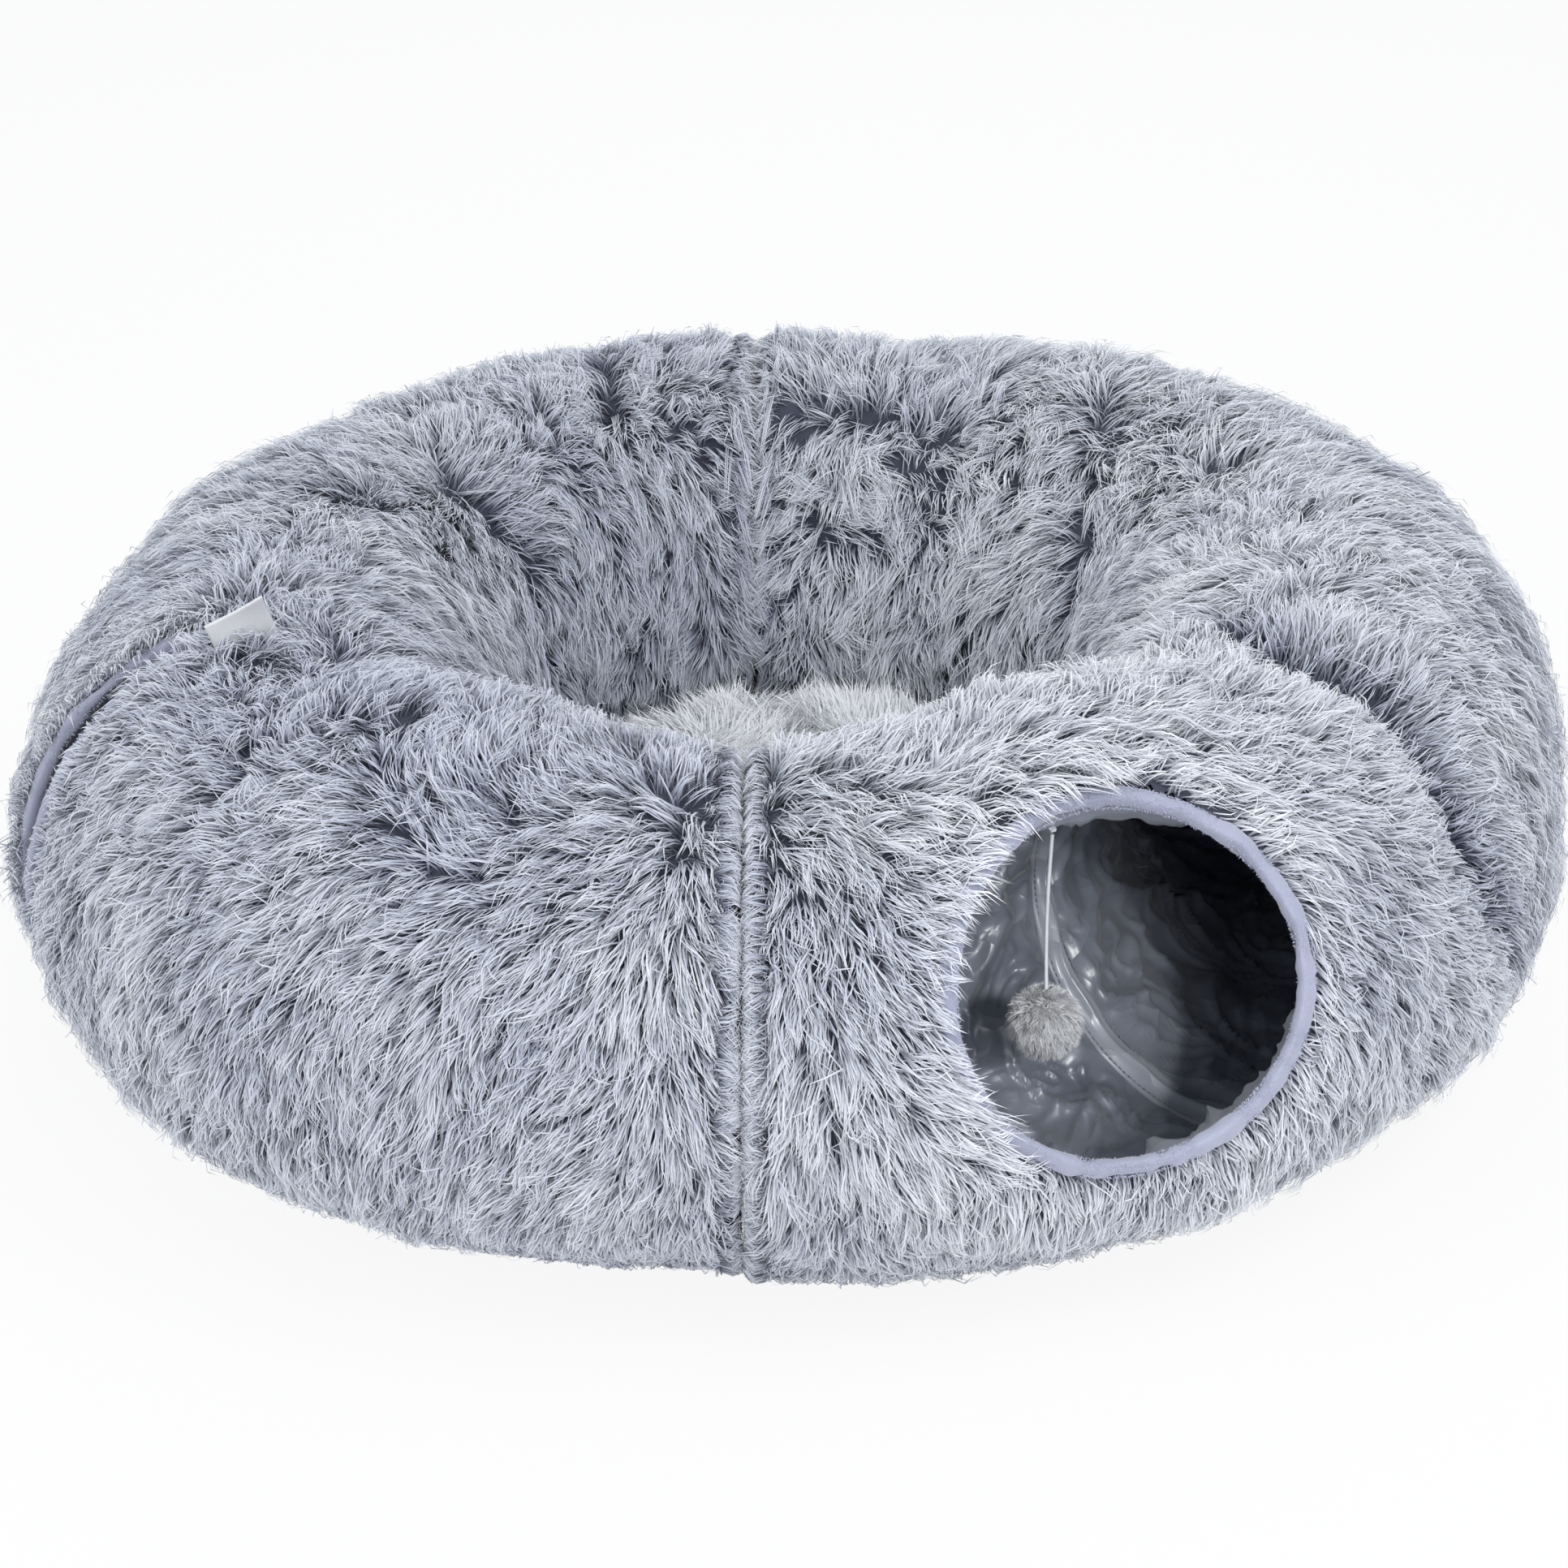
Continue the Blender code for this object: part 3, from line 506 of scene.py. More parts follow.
def metal_material(name, low, high, roughness):
    """Metal with a fine grain in its colour, its roughness and its relief."""
    made, tree, shader = new_material(name)
    grain = noise(tree, object_coords(tree), 700.0, 3.0)
    tree.links.new(ramp(tree, grain, [(0.3, low), (0.7, high)]), shader.inputs["Base Color"])
    rough = ramp(tree, grain, [(0.2, (roughness * 0.7,) * 3), (0.8, (roughness * 1.3,) * 3)])
    tree.links.new(rough, shader.inputs["Roughness"])
    set_sockets(shader, Metallic=1.0)
    bump(tree, shader, grain, 0.15, 0.0002)
    return made


STEEL = metal_material("spring_steel", (0.46, 0.47, 0.50), (0.62, 0.63, 0.65), 0.3)
ZIP_METAL = metal_material("zip_metal", (0.30, 0.31, 0.35), (0.44, 0.45, 0.49), 0.34)


def zip_material(name, low, high, roughness, ribs, strength):
    """Tape or coil with cross ribs, counted round the tunnel by the turn about its middle."""
    made, tree, shader = new_material(name)
    coords = tree.nodes.new("ShaderNodeTexCoord")
    split = tree.nodes.new("ShaderNodeSeparateXYZ")
    tree.links.new(coords.outputs["Object"], split.inputs["Vector"])
    off = maths(tree, "SUBTRACT", maths(tree, "ABSOLUTE", split.outputs["Y"]), RING)
    high_up = maths(tree, "SUBTRACT", split.outputs["Z"], AXIS_Z)
    turn = maths(tree, "ARCTAN2", high_up, off)
    rib = maths(tree, "SINE", maths(tree, "MULTIPLY", turn, ribs))
    share = maths(tree, "MULTIPLY_ADD", rib, 0.5, 0.5)
    tree.links.new(ramp(tree, share, [(0.1, low), (0.8, high)]), shader.inputs["Base Color"])
    set_sockets(shader, Roughness=roughness)
    bump(tree, shader, share, strength, 0.0004)
    return made


TAPE = zip_material("zip_tape", (0.045, 0.052, 0.075), (0.085, 0.095, 0.13), 0.85, 900.0, 0.4)
COIL = zip_material("zip_coil", (0.03, 0.03, 0.04), (0.11, 0.11, 0.13), 0.4, 460.0, 0.9)


# Mesh helpers
def link(name, mesh, material):
    made = bpy.data.objects.new(name, mesh)
    bpy.context.scene.collection.objects.link(made)
    mesh.materials.append(material)
    return made


def raw_mesh(name, points, loops, starts):
    mesh = bpy.data.meshes.new(name)
    mesh.vertices.add(len(points))
    mesh.vertices.foreach_set("co", np.ascontiguousarray(points, np.float32).ravel())
    mesh.loops.add(len(loops))
    mesh.loops.foreach_set("vertex_index", np.ascontiguousarray(loops, np.int32))
    mesh.polygons.add(len(starts))
    mesh.polygons.foreach_set("loop_start", np.ascontiguousarray(starts, np.int32))
    mesh.update(calc_edges=True)
    mesh.polygons.foreach_set("use_smooth", np.ones(len(starts), bool))
    mesh.update()
    return mesh


def quad_mesh(name, points, quads, material):
    quads = np.asarray(quads, np.int32)
    mesh = raw_mesh(name, points, quads.ravel(), np.arange(len(quads)) * 4)
    mesh.validate()
    return link(name, mesh, material)


def grid_quads(rows, count, closed_rows=False, closed_count=False, first=0):
    """Quads of a grid of points, joined round at its ends where it is closed."""
    across = np.arange(rows if closed_rows else rows - 1), np.arange(count if closed_count else count - 1)
    i, k = np.meshgrid(*across, indexing="ij")
    j, m = (i + 1) % rows, (k + 1) % count
    quads = np.stack([i * count + k, j * count + k, j * count + m, i * count + m], -1)
    return quads.reshape(-1, 4) + first


def tube_quads(rows, count, first=0):
    return grid_quads(rows, count, False, True, first)


def round_grid(values, count, start=0.0):
    """Grids of these values and of a whole turn in equal steps."""
    return np.meshgrid(values, start + 2 * pi * np.arange(count) / count, indexing="ij")


def end_rings(rows, count):
    """Quads that close the gap between two grids, one after the other, at their first and last rows."""
    total = rows * count
    k = np.arange(count)
    m = (k + 1) % count
    return [np.stack([end + k, end + m, total + end + m, total + end + k], -1) for end in (0, total - count)]


def strands(name, centres, sides, widths, tone, along, material):
    """Ribbons from (strand, 4 rows) centre lines and side vectors, tapered to a point in the last row."""
    count = len(centres)
    half = (sides[:, :3] * widths[:, :3, None]) / 2
    points = np.empty((count, 7, 3))
    points[:, 0:6:2] = centres[:, :3] - half
    points[:, 1:6:2] = centres[:, :3] + half
    points[:, 6] = centres[:, 3]
    pattern = np.array([0, 1, 3, 2, 2, 3, 5, 4, 4, 5, 6])
    loops = (np.arange(count)[:, None] * 7 + pattern).ravel()
    starts = (np.arange(count)[:, None] * 11 + np.array([0, 4, 8])).ravel()
    mesh = raw_mesh(name, points.reshape(-1, 3), loops, starts)
    layer = mesh.uv_layers.new(name="OFBake")
    rows = np.array([0, 0, 1, 1, 2, 2, 3])[pattern]
    edge = np.array([-1, 1, -1, 1, -1, 1, 0])[pattern]
    uv = np.empty((count, 11, 2), np.float32)
    uv[:, :, 0] = np.clip(tone[:, None] + 0.02 * edge, 0.02, 0.98)
    uv[:, :, 1] = np.clip(along[:, rows], 0.02, 0.98)
    layer.data.foreach_set("uv", uv.ravel())
    return link(name, mesh, material)


def unit(vectors):
    return vectors / np.maximum(np.linalg.norm(vectors, axis=-1, keepdims=True), 1e-12)


# How the fur lies: random fields of these sizes, seeded in order
FUR_WAVES = 0.30, 0.16, 0.07, 0.07, 0.024, 0.024, 0.05, 0.13
wander, drift, swirl, swirl_b, ruffle, ruffle_b, depth, patch = map(waves, FUR_WAVES, range(1, 9))

# Creases and partings on the photograph: two ends as the half's own ring angle and turn in degrees, then
# half the width of the parted hair and how firmly it is parted
PARTINGS = {
    "left": [
        ((-88, 70), (-82, 97), 0.036, 1.6), ((-66, 57), (-58, 83), 0.026, 1.3),
        ((-46, 44), (-47, 62), 0.024, 1.1), ((-42, 94), (-33, 106), 0.028, 1.3),
        ((36, 116), (40, 146), 0.034, 1.5), ((40, 146), (66, 176), 0.028, 1.0),
        ((73, 86), (69, 116), 0.028, 1.2), ((-74, 70), (-71, 84), 0.016, 0.9),
        ((10, 96), (18, 108), 0.022, 0.9), ((56, 128), (62, 150), 0.018, 0.9),
        ((-10, 112), (0, 120), 0.022, 0.8), ((62, 184), (69, 177), 0.022, 1.1),
        ((85, 170), (83, 158), 0.024, 1.2), ((80, 186), (86, 180), 0.018, 1.0),
    ],
    "right": [
        ((46, 106), (35, 138), 0.030, 1.4), ((79, 185), (74, 178), 0.016, 0.9),
        ((52, 187), (50, 180), 0.016, 0.8), ((35, 138), (24, 172), 0.026, 1.2),
        ((86, 117), (66, 121), 0.030, 1.5), ((70, 130), (64, 150), 0.022, 1.1),
        ((28, 122), (26, 136), 0.022, 0.9), ((-25, 104), (-16, 114), 0.022, 0.9),
        ((-56, 80), (-50, 88), 0.016, 0.8), ((8, 60), (14, 84), 0.022, 0.7),
        ((-80, 84), (-72, 90), 0.018, 0.7), ((52, 92), (60, 98), 0.020, 0.7),
    ],
}


def parted(half, along, turn):
    """Push away from the partings as (along, turn) parts, and how close the nearest one is, 0 to 1."""
    angle = ring_angle(along)
    push_a, push_t, close = np.zeros_like(turn), np.zeros_like(turn), np.zeros_like(turn)
    for start, end, width, strength in PARTINGS[half]:
        (a0, t0), (a1, t1) = np.radians(start), np.radians(end)
        round_ring = RING + BORE * cos((t0 + t1) / 2)
        run = np.array([(a1 - a0) * round_ring, (t1 - t0) * OUTER])
        da, dt = (angle - a0) * round_ring, (turn - t0) * OUTER
        share = np.clip((da * run[0] + dt * run[1]) / (run @ run), 0, 1)
        da, dt = da - share * run[0], dt - share * run[1]
        gap = np.hypot(da, dt)
        pull = 0.85 * strength * np.exp(-(gap / width) ** 2) / (gap + 0.005)
        push_a, push_t = push_a + pull * da, push_t + pull * dt
        close = np.maximum(close, np.clip(strength, 0, 1.2) / 1.2 * np.exp(-(gap / (width * 0.40)) ** 2))
    return push_a, push_t, close


def comb(half, along, turn, points):
    """Which way the fur lies, as (along, turn) parts, how firmly it is combed, and how near a parting is."""
    angle = ring_angle(along)
    front, rear = np.clip(-np.sin(angle), 0, 1), np.clip(np.sin(angle), 0, 1)
    ahead = radians(27 if half == "left" else 19) * front
    crest = radians(104) - ahead + radians(13) * rear + 0.13 * wander(points)
    over = turn - crest
    t = np.tanh(over / 0.36)
    outer = np.clip(np.cos(turn), 0, 1)
    joint = hump(zip_distance(along), 0, 0.030)
    toward = np.where(along > LENGTH / 2, 1.0, -1.0)
    ways = hole_way(half, along, turn)
    wild = 0.75 + 0.9 * hump(over, 0, 0.42)
    wild = wild + 0.9 * rear * smooth(over / 0.4) * hump(zip_distance(along), 0, 0.16)
    a = smooth(front * 1.5) * (1.15 * hump(over, -0.28, 0.42) + 0.28 * outer)
    a = a * (1 - 0.9 * joint) + 0.80 * joint * toward
    a = a + wild * (0.20 * drift(points) + 0.24 * swirl(points) + 0.20 * ruffle(points))
    t = t + wild * (0.20 * swirl_b(points) + 0.20 * ruffle_b(points))
    push_a, push_t, close = parted(half, along, turn)
    a, t = a + push_a, t + push_t
    past, deep = valley(half, along, turn)
    a = a + 2.0 * deep * hump(past, 0.0, 0.050)
    t = t * (1 - 0.5 * deep * hump(past, 0.0, 0.050))
    for hoop in HALVES[half]["hoops"][1:3]:
        da = (angle - hoop) * (RING + BORE * np.cos(turn))
        inward = np.clip(0.5 - 0.5 * np.cos(turn), 0.05, 0.9)
        a = a + 0.45 * hump(da, 0, 0.018) * inward * np.sign(da)
    beside = hump(hole_spread(half, along, turn), 0.010, 0.024)
    if half == "left":
        far_side = beside * (np.cos(ways) > 0)
        near_side = beside * (np.cos(ways) <= 0)
        a = a - 2.4 * far_side + 1.2 * near_side
        t = t * (1 - 0.7 * far_side - 0.3 * near_side)
    else:
        cover = beside * cover_share(half, along, turn)
        away = beside * (1 - cover_share(half, along, turn))
        a = a * (1 - 0.6 * cover) - 1.5 * cover * np.cos(ways) + 0.7 * away * np.cos(ways)
        t = t * (1 - 0.3 * cover) - 0.9 * cover * np.sin(ways) + 0.5 * away * np.sin(ways)
    firm = np.hypot(a, t)
    return a / (firm + 1e-6), t / (firm + 1e-6), np.clip(firm, 0, 1), close


def seed_clumps(spacing, rng, first, last, low, high):
    """Jittered clump places, evenly spread over the skin, as (along, turn) arrays."""
    widest = (RING + OUTER) / RING
    rows = int((last - first) * widest / spacing)
    cells = int((high - low) * OUTER / spacing)
    i, k = np.meshgrid(np.arange(rows), np.arange(cells), indexing="ij")
    along = first + (last - first) * (i + rng.uniform(0, 1, i.shape)) / rows
    turn = low + (high - low) * (k + rng.uniform(0, 1, i.shape)) / cells
    along, turn = along.ravel(), turn.ravel()
    keep = rng.uniform(0, 1, len(along)) < (RING + OUTER * np.cos(turn)) / (RING + OUTER)
    return along[keep], turn[keep]


LOW_TURN, HIGH_TURN = radians(-84), radians(264)
FUR_LENGTH = 0.028
FUR_LIFT = 0.0140
CLUMP_SPACING = 0.0056
CLUMP_STRANDS = 8
STRAND_WIDTH = 0.00088
PIECE_STRANDS = 38000
STEPS = np.array([0.0, 0.35, 0.7, 1.0])
# Roots keep clear of the binding and of the front and rear zips by this much
ROOT_CLEAR, FRONT_CLEAR, REAR_CLEAR = 0.0078, 0.0125, 0.0045
WALL_FOOT = 0.106
TUCK = {"left": 0.55, "right": 0.30}


def cover_share(half, along, turn):
    """Where the fur falls over the binding instead of away from it, 0 to 1."""
    way = hole_way(half, along, turn)
    if half == "left":
        return smooth((radians(100) - np.abs(way)) / radians(30))
    return smooth((radians(84) - np.abs((way - radians(154) + pi) % (2 * pi) - pi)) / radians(22))


def hang_over(half, along, turn):
    """How far a tip may reach over the opening's edge: the spread it has to stay outside of."""
    way = hole_way(half, along, turn)
    wisps = ruffle(place(half, along, turn, SKIN))
    if half == "left":
        return np.where(np.abs(way) < radians(80), 0.0010 + 0.0015 * wisps, 0.0080 - 0.009 * (wisps > 1.0))
    more = 0.0105 + 0.004 * wisps + 0.007 * hump(way, radians(118), radians(34))
    return 0.0068 - more * cover_share(half, along, turn) - 0.008 * (np.abs(wisps) > 1.25)


def limited(short, where, room, reach):
    """Shorten the strands that pass a limit, by the root's room before it and the tip's reach."""
    return np.where(where, np.minimum(short, room / np.maximum(reach, 1e-6)), short)


def kept_share(half, at, root_a, root_t, tip_a, tip_t):
    """Share of its length each strand keeps, cut at the opening, the joint, the fold and the wall's foot."""
    root_spread, tip_spread = hole_spread(half, root_a, root_t), hole_spread(half, tip_a, tip_t)
    edge = hang_over(half, root_a, root_t)
    short = limited(1.0, tip_spread < edge, root_spread - edge, root_spread - tip_spread)
    beyond = -zip_distance(tip_a) > np.where(tip_a > LENGTH / 2, 0.008, 0.004)
    short = np.where(beyond, np.minimum(short, 0.75), short)
    root_past, deep = valley(half, root_a, root_t)
    tip_past = valley(half, tip_a, tip_t)[0]
    lip = 0.004 + 0.004 * ruffle(at)[:, None]
    stops = (deep > 0.3) & (root_past < lip) & (tip_past > lip)
    short = limited(short, stops, lip - root_past, tip_past - root_past)
    if half == "left":
        near, height = OPENINGS[half]["near"], OPENINGS[half]["height"]
        across, around = hole_parts(half, root_a, root_t)
        reach = hole_parts(half, tip_a, tip_t)[0]
        rim = -near * np.sqrt(np.clip(1 - (around / height) ** 2, 0, 1)) + 0.001
        crossing = (across > rim) & (reach < rim) & (np.abs(around) < height + 0.004)
        short = limited(short, crossing, across - rim, across - reach)
    root_z = AXIS_Z + (BORE + 0.012) * np.sin(root_t)
    tip_z = AXIS_Z + (BORE + 0.018) * np.sin(tip_t)
    foot = WALL_FOOT + 0.008 * ruffle(at)[:, None]
    hangs = (np.cos(root_t) < 0) & (tip_z < foot) & (root_z > foot)
    short = limited(short, hangs, root_z - foot, root_z - tip_z)
    return np.clip(short, 0.30, 1.0)[..., None]


def grow(half, along, turn, rng):
    """Strands of the clumps at these places: centre lines, sides, widths, tones and root-to-tip values."""
    at = place(half, along, turn, SKIN)
    a, t, firm, close = comb(half, along, turn, at)
    past, deep = valley(half, along, turn)
    bare = deep * hump(past, 0.008, 0.013)
    stay = rng.uniform(0, 1, len(along)) > np.maximum(0.15 * close ** 2, 0.85 * bare)
    along, turn, at, a, t, firm, close = (v[stay] for v in (along, turn, at, a, t, firm, close))
    count, many = len(along), CLUMP_STRANDS
    low = underneath(turn)
    jitter = rng.normal(0, 0.20, count) + rng.normal(0, 0.30, count) * hump(turn, radians(95), 0.6)
    ca, ct = a * np.cos(jitter) - t * np.sin(jitter), a * np.sin(jitter) + t * np.cos(jitter)

    spread = CLUMP_SPACING * 0.60
    off_a = rng.normal(0, spread, (count, many))
    off_t = rng.normal(0, spread, (count, many))
    gather = rng.uniform(0.14, 0.42, (count, 1))
    loose = rng.uniform(0, 1, (count, many)) < 0.09
    gather = np.where(loose, 1.1, gather)
    own = rng.normal(0, 0.07, (count, many)) + np.where(loose, rng.normal(0, 0.45, (count, many)), 0)
    ha = ca[:, None] * np.cos(own) - ct[:, None] * np.sin(own)
    ht = ca[:, None] * np.sin(own) + ct[:, None] * np.cos(own)

    spot = hole_spread(half, along, turn)
    near_hole = np.clip((spot - 0.008) / 0.025, 0, 1)
    near_hole = np.maximum(near_hole, cover_share(half, along, turn))
    length = FUR_LENGTH * (1 + 0.10 * depth(at)) * (0.72 + 0.28 * near_hole) * rng.uniform(0.72, 1.12, count)
    length = length[:, None] * rng.uniform(0.86, 1.06, (count, many))
    level = rng.uniform(0.25, 1.0, count) ** 0.8 * (1 + 0.15 * depth(at))
    level = level * (1 - 0.35 * close) * (1 - TUCK[half] * low)
    rise = FUR_LIFT * (level[:, None] + 0.22 * (1 - firm)[:, None]) * rng.uniform(0.88, 1.12, (count, many))
    covers = hump(spot, 0.008, 0.022) * cover_share(half, along, turn)
    rise = np.minimum(rise, 0.019) * np.maximum(0.62 + 0.38 * near_hole, covers)[:, None]
    rise = np.maximum(rise, 0.0098 * covers[:, None])
    rise = np.where(loose, rise * 1.22, rise)
    run = np.sqrt(np.maximum(length ** 2 - rise ** 2, 1e-6)) * (0.62 + 0.38 * firm[:, None])

    steps = np.array([0.0, 0.30, 0.65, 1.0])
    forward = np.array([0.0, 0.22, 0.60, 1.0])
    up = np.array([0.0, 0.60, 0.96, 1.0]) - low[:, None, None] * np.array([0.0, 0.0, 0.10, 0.35])
    up = up - hump(turn, radians(20), 0.9)[:, None, None] * np.array([0.0, 0.0, 0.04, 0.16])
    up = up + covers[:, None, None] * np.array([0.0, 0.22, 0.28, 0.06])
    keep = 1 - steps * (1 - gather[..., None])
    scale = RING / (RING + OUTER * np.cos(turn))[:, None, None]
    arc = np.sin(steps * pi * 0.8)
    curl = rng.normal(0, 0.0024, (count, 1)) + rng.normal(0, 0.0008, (count, many))
    hook = rng.normal(0, 0.0020, (count, 1)) * np.ones((1, many))
    bow = curl[..., None] * arc + hook[..., None] * steps ** 3
    pa = off_a[..., None] * keep + ha[..., None] * run[..., None] * forward - ht[..., None] * bow
    pt = off_t[..., None] * keep + ht[..., None] * run[..., None] * forward + ha[..., None] * bow
    straight = (zip_distance(along) < STRAIGHT)[:, None, None]
    pa = pa * np.where(straight, 1.0, scale)
    root_a, root_t = along[:, None] + pa[..., 0], turn[:, None] + pt[..., 0] / OUTER
    tip_a, tip_t = along[:, None] + pa[..., 3], turn[:, None] + pt[..., 3] / OUTER

    clear = np.where(root_a > LENGTH / 2, REAR_CLEAR, FRONT_CLEAR)
    inside = (hole_spread(half, root_a, root_t) > ROOT_CLEAR) & (zip_distance(root_a) > clear)
    short = kept_share(half, at, root_a, root_t, tip_a, tip_t)
    root_z = AXIS_Z + (BORE + 0.012) * np.sin(root_t)
    rise = rise * np.where(np.cos(root_t) < 0, np.clip(0.45 + (root_z - WALL_FOOT) / 0.015, 0.45, 1.0), 1.0)
    where_a = root_a[..., None] + (pa - pa[..., :1]) * short
    where_t = root_t[..., None] + (pt - pt[..., :1]) * short / OUTER
    base = skin_lift(half, root_a, root_t)
    lift = base[..., None] - 0.0008 + rise[..., None] * up
    ahead = skin_lift(half, where_a[..., 3], where_t[..., 3])
    drop = np.clip(ahead - base, -0.012, 0.012)
    drop = np.where(hole_spread(half, where_a[..., 3], where_t[..., 3]) < 0.002, 0.0, drop)
    lift = lift + drop[..., None] * steps

    centres = place(half, where_a, where_t, lift)
    above = place(half, where_a[..., :1], where_t[..., :1], lift[..., :1] + 0.002)
    normal = unit(above - centres[..., :1, :])
    tone = tone_of(half, at, along, turn, close, many, rng)
    return finish_strands(centres, normal, inside, rng, tone, STRAND_WIDTH)


def tone_of(half, at, along, turn, close, many, rng):
    """Tone of each strand: darker and bluer on the left crest and inside the rear, paler below and right,
    with painted shade along the partings and in the deep fold.
    """
    count = len(turn)
    x, y = at[:, 0], at[:, 1]
    sway = 0.50 + 0.17 * np.tanh((x - 0.02) / 0.09) + 0.10 * patch(at) + 0.07 * depth(at)
    sway -= 0.36 * hump(turn, radians(82), radians(26)) * hump(x, -0.20, 0.17) * (y < 0)
    sway += 0.16 * smooth((-0.25 - x) / 0.12)
    sway += 0.10 * hump(turn, radians(115), radians(30)) * hump(x, -0.28, 0.12)
    sway += 0.20 * hump(x, 0.12, 0.13) * (y < 0) * smooth((turn - radians(40)) / radians(30))
    sway -= 0.10 * smooth((x - 0.16) / 0.1) * (turn < radians(60))
    sway += 0.16 * smooth((radians(25) - turn) / radians(50))
    sway -= 0.22 * (y > 0.05) * smooth((turn - radians(100)) / radians(30)) * hump(x, -0.06, 0.14)
    # Darker along the partings: painted shade in the parted hair.
    sway -= 0.28 * close
    # Darker in the deep fold: painted shade in the crease.
    past, deep = valley(half, along, turn)
    sway -= 0.75 * deep * hump(past, 0.012, 0.022)
    tone = sway[:, None] + rng.normal(0, 0.10, (count, 1)) + rng.normal(0, 0.10, (count, many))
    return np.clip(tone, 0.02, 0.98)


def finish_strands(centres, normal, inside, rng, tone, width):
    """Sides, widths and root-to-tip values of these strands, and only those inside their bounds."""
    tangent = np.empty_like(centres)
    tangent[..., :3, :] = centres[..., 1:, :] - centres[..., :3, :]
    tangent[..., 3, :] = tangent[..., 2, :]
    across = unit(np.cross(unit(tangent), normal))
    roll = rng.normal(0, 0.50, centres.shape[:-2])[..., None, None]
    lifted = unit(np.cross(across, unit(tangent)))
    sides = across * np.cos(roll) + lifted * np.sin(roll)
    widths = width * rng.uniform(0.7, 1.35, centres.shape[:-2])[..., None] * np.array([1.0, 0.95, 0.66, 0.0])
    along = np.broadcast_to(np.array([0.0, 0.36, 0.70, 1.0]), centres.shape[:-1])
    along = along + rng.normal(0, 0.05, centres.shape[:-2])[..., None]
    chosen = inside.ravel()
    flat = lambda values: values.reshape(-1, *values.shape[2:])[chosen]
    return flat(centres), flat(sides), flat(widths), flat(tone), flat(along)


def attach(piece, key, nodes=()):
    """Ride a piece of a section on its one body; a piece of a section between two bodies only has its
    transform applied.
    """
    half, section = key
    bodies = BENDS[key]
    if len(bodies) == 1:
        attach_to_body(piece, bodies[0])
    else:
        hoops = HALVES[half]["hoops"]
        first, last = along_at(hoops[section]), along_at(hoops[section + 1])
        ends = [place(half, spot, 0.0, -BORE, 0.0).tolist() for spot in (first, last)]
        if (half, section) == ("left", 0):
            ends.reverse()
        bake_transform(piece)
    for name in nodes:
        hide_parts(name)


def sow(name, parts, key, material):
    """Cut a section's strands into pieces that the export can keep whole."""
    order = np.argsort(parts[0][:, 0, 2], kind="stable")
    pieces = max(1, int(np.ceil(len(order) / PIECE_STRANDS)))
    for k, chosen in enumerate(np.array_split(order, pieces)):
        piece = strands(f"{name}_{k + 1}", *[part[chosen] for part in parts], material)
        attach(piece, key)


SKIN_CELL, SKIN_EDGE, SKIN_HOLE = 0.005, 0.005, 0.0040


def section_ends(half, section):
    hoops = HALVES[half]["hoops"]
    first = 0.0 if section == 0 else along_at(hoops[section])
    last = LENGTH if section == 2 else along_at(hoops[section + 1])
    return first, last


def skin_section(half, section):
    """The cloth under the fur, closed against the lining at its ends, with its hole under the binding."""
    first, last = section_ends(half, section)
    rows, count = int((last - first) * 1.2 / SKIN_CELL) + 2, 150
    along = np.linspace(max(first, SKIN_EDGE), min(last, LENGTH - SKIN_EDGE), rows)
    grid_a, grid_t = round_grid(along, count, -pi / 2)
    lift = skin_lift(half, grid_a, np.where(grid_t > 1.5 * pi, grid_t - 2 * pi, grid_t))
    outer = place(half, grid_a, grid_t, lift)
    inner = place(half, grid_a, grid_t, np.minimum(SKIN_LOW, lift - 0.0010))
    points = np.concatenate([outer.reshape(-1, 3), inner.reshape(-1, 3)])
    total = rows * count
    outside = tube_quads(rows, count)
    inside = tube_quads(rows, count, total)[:, ::-1]
    if OPENINGS[half]["section"] == section:
        spread = hole_spread(half, grid_a, grid_t).ravel()
        outside = outside[(spread[outside] > SKIN_HOLE).all(1)]
        inside = inside[(spread[inside - total] > FLARE_REACH).all(1)]
    quads = np.concatenate([outside, inside, *end_rings(rows, count)])
    made = quad_mesh(f"{half}_{SECTIONS[section]}_skin", points, quads, SKIN_CLOTH)
    attach(made, (half, section), [f"{half}_{SECTIONS[section]}_plush"])


def fur_sections():
    rng = np.random.default_rng(11)
    for half in HALVES:
        for section, name in enumerate(SECTIONS):
            skin_section(half, section)
            first, last = section_ends(half, section)
            first, last = max(first, 0.012), min(last, LENGTH - SKIN_EDGE)
            along, turn = seed_clumps(CLUMP_SPACING, rng, first, last, LOW_TURN, HIGH_TURN)
            keep = hole_spread(half, along, turn) > 0.006
            parts = grow(half, along[keep], turn[keep], rng)
            sow(f"{half}_{name}_fur", parts, (half, section), GREY_FUR)


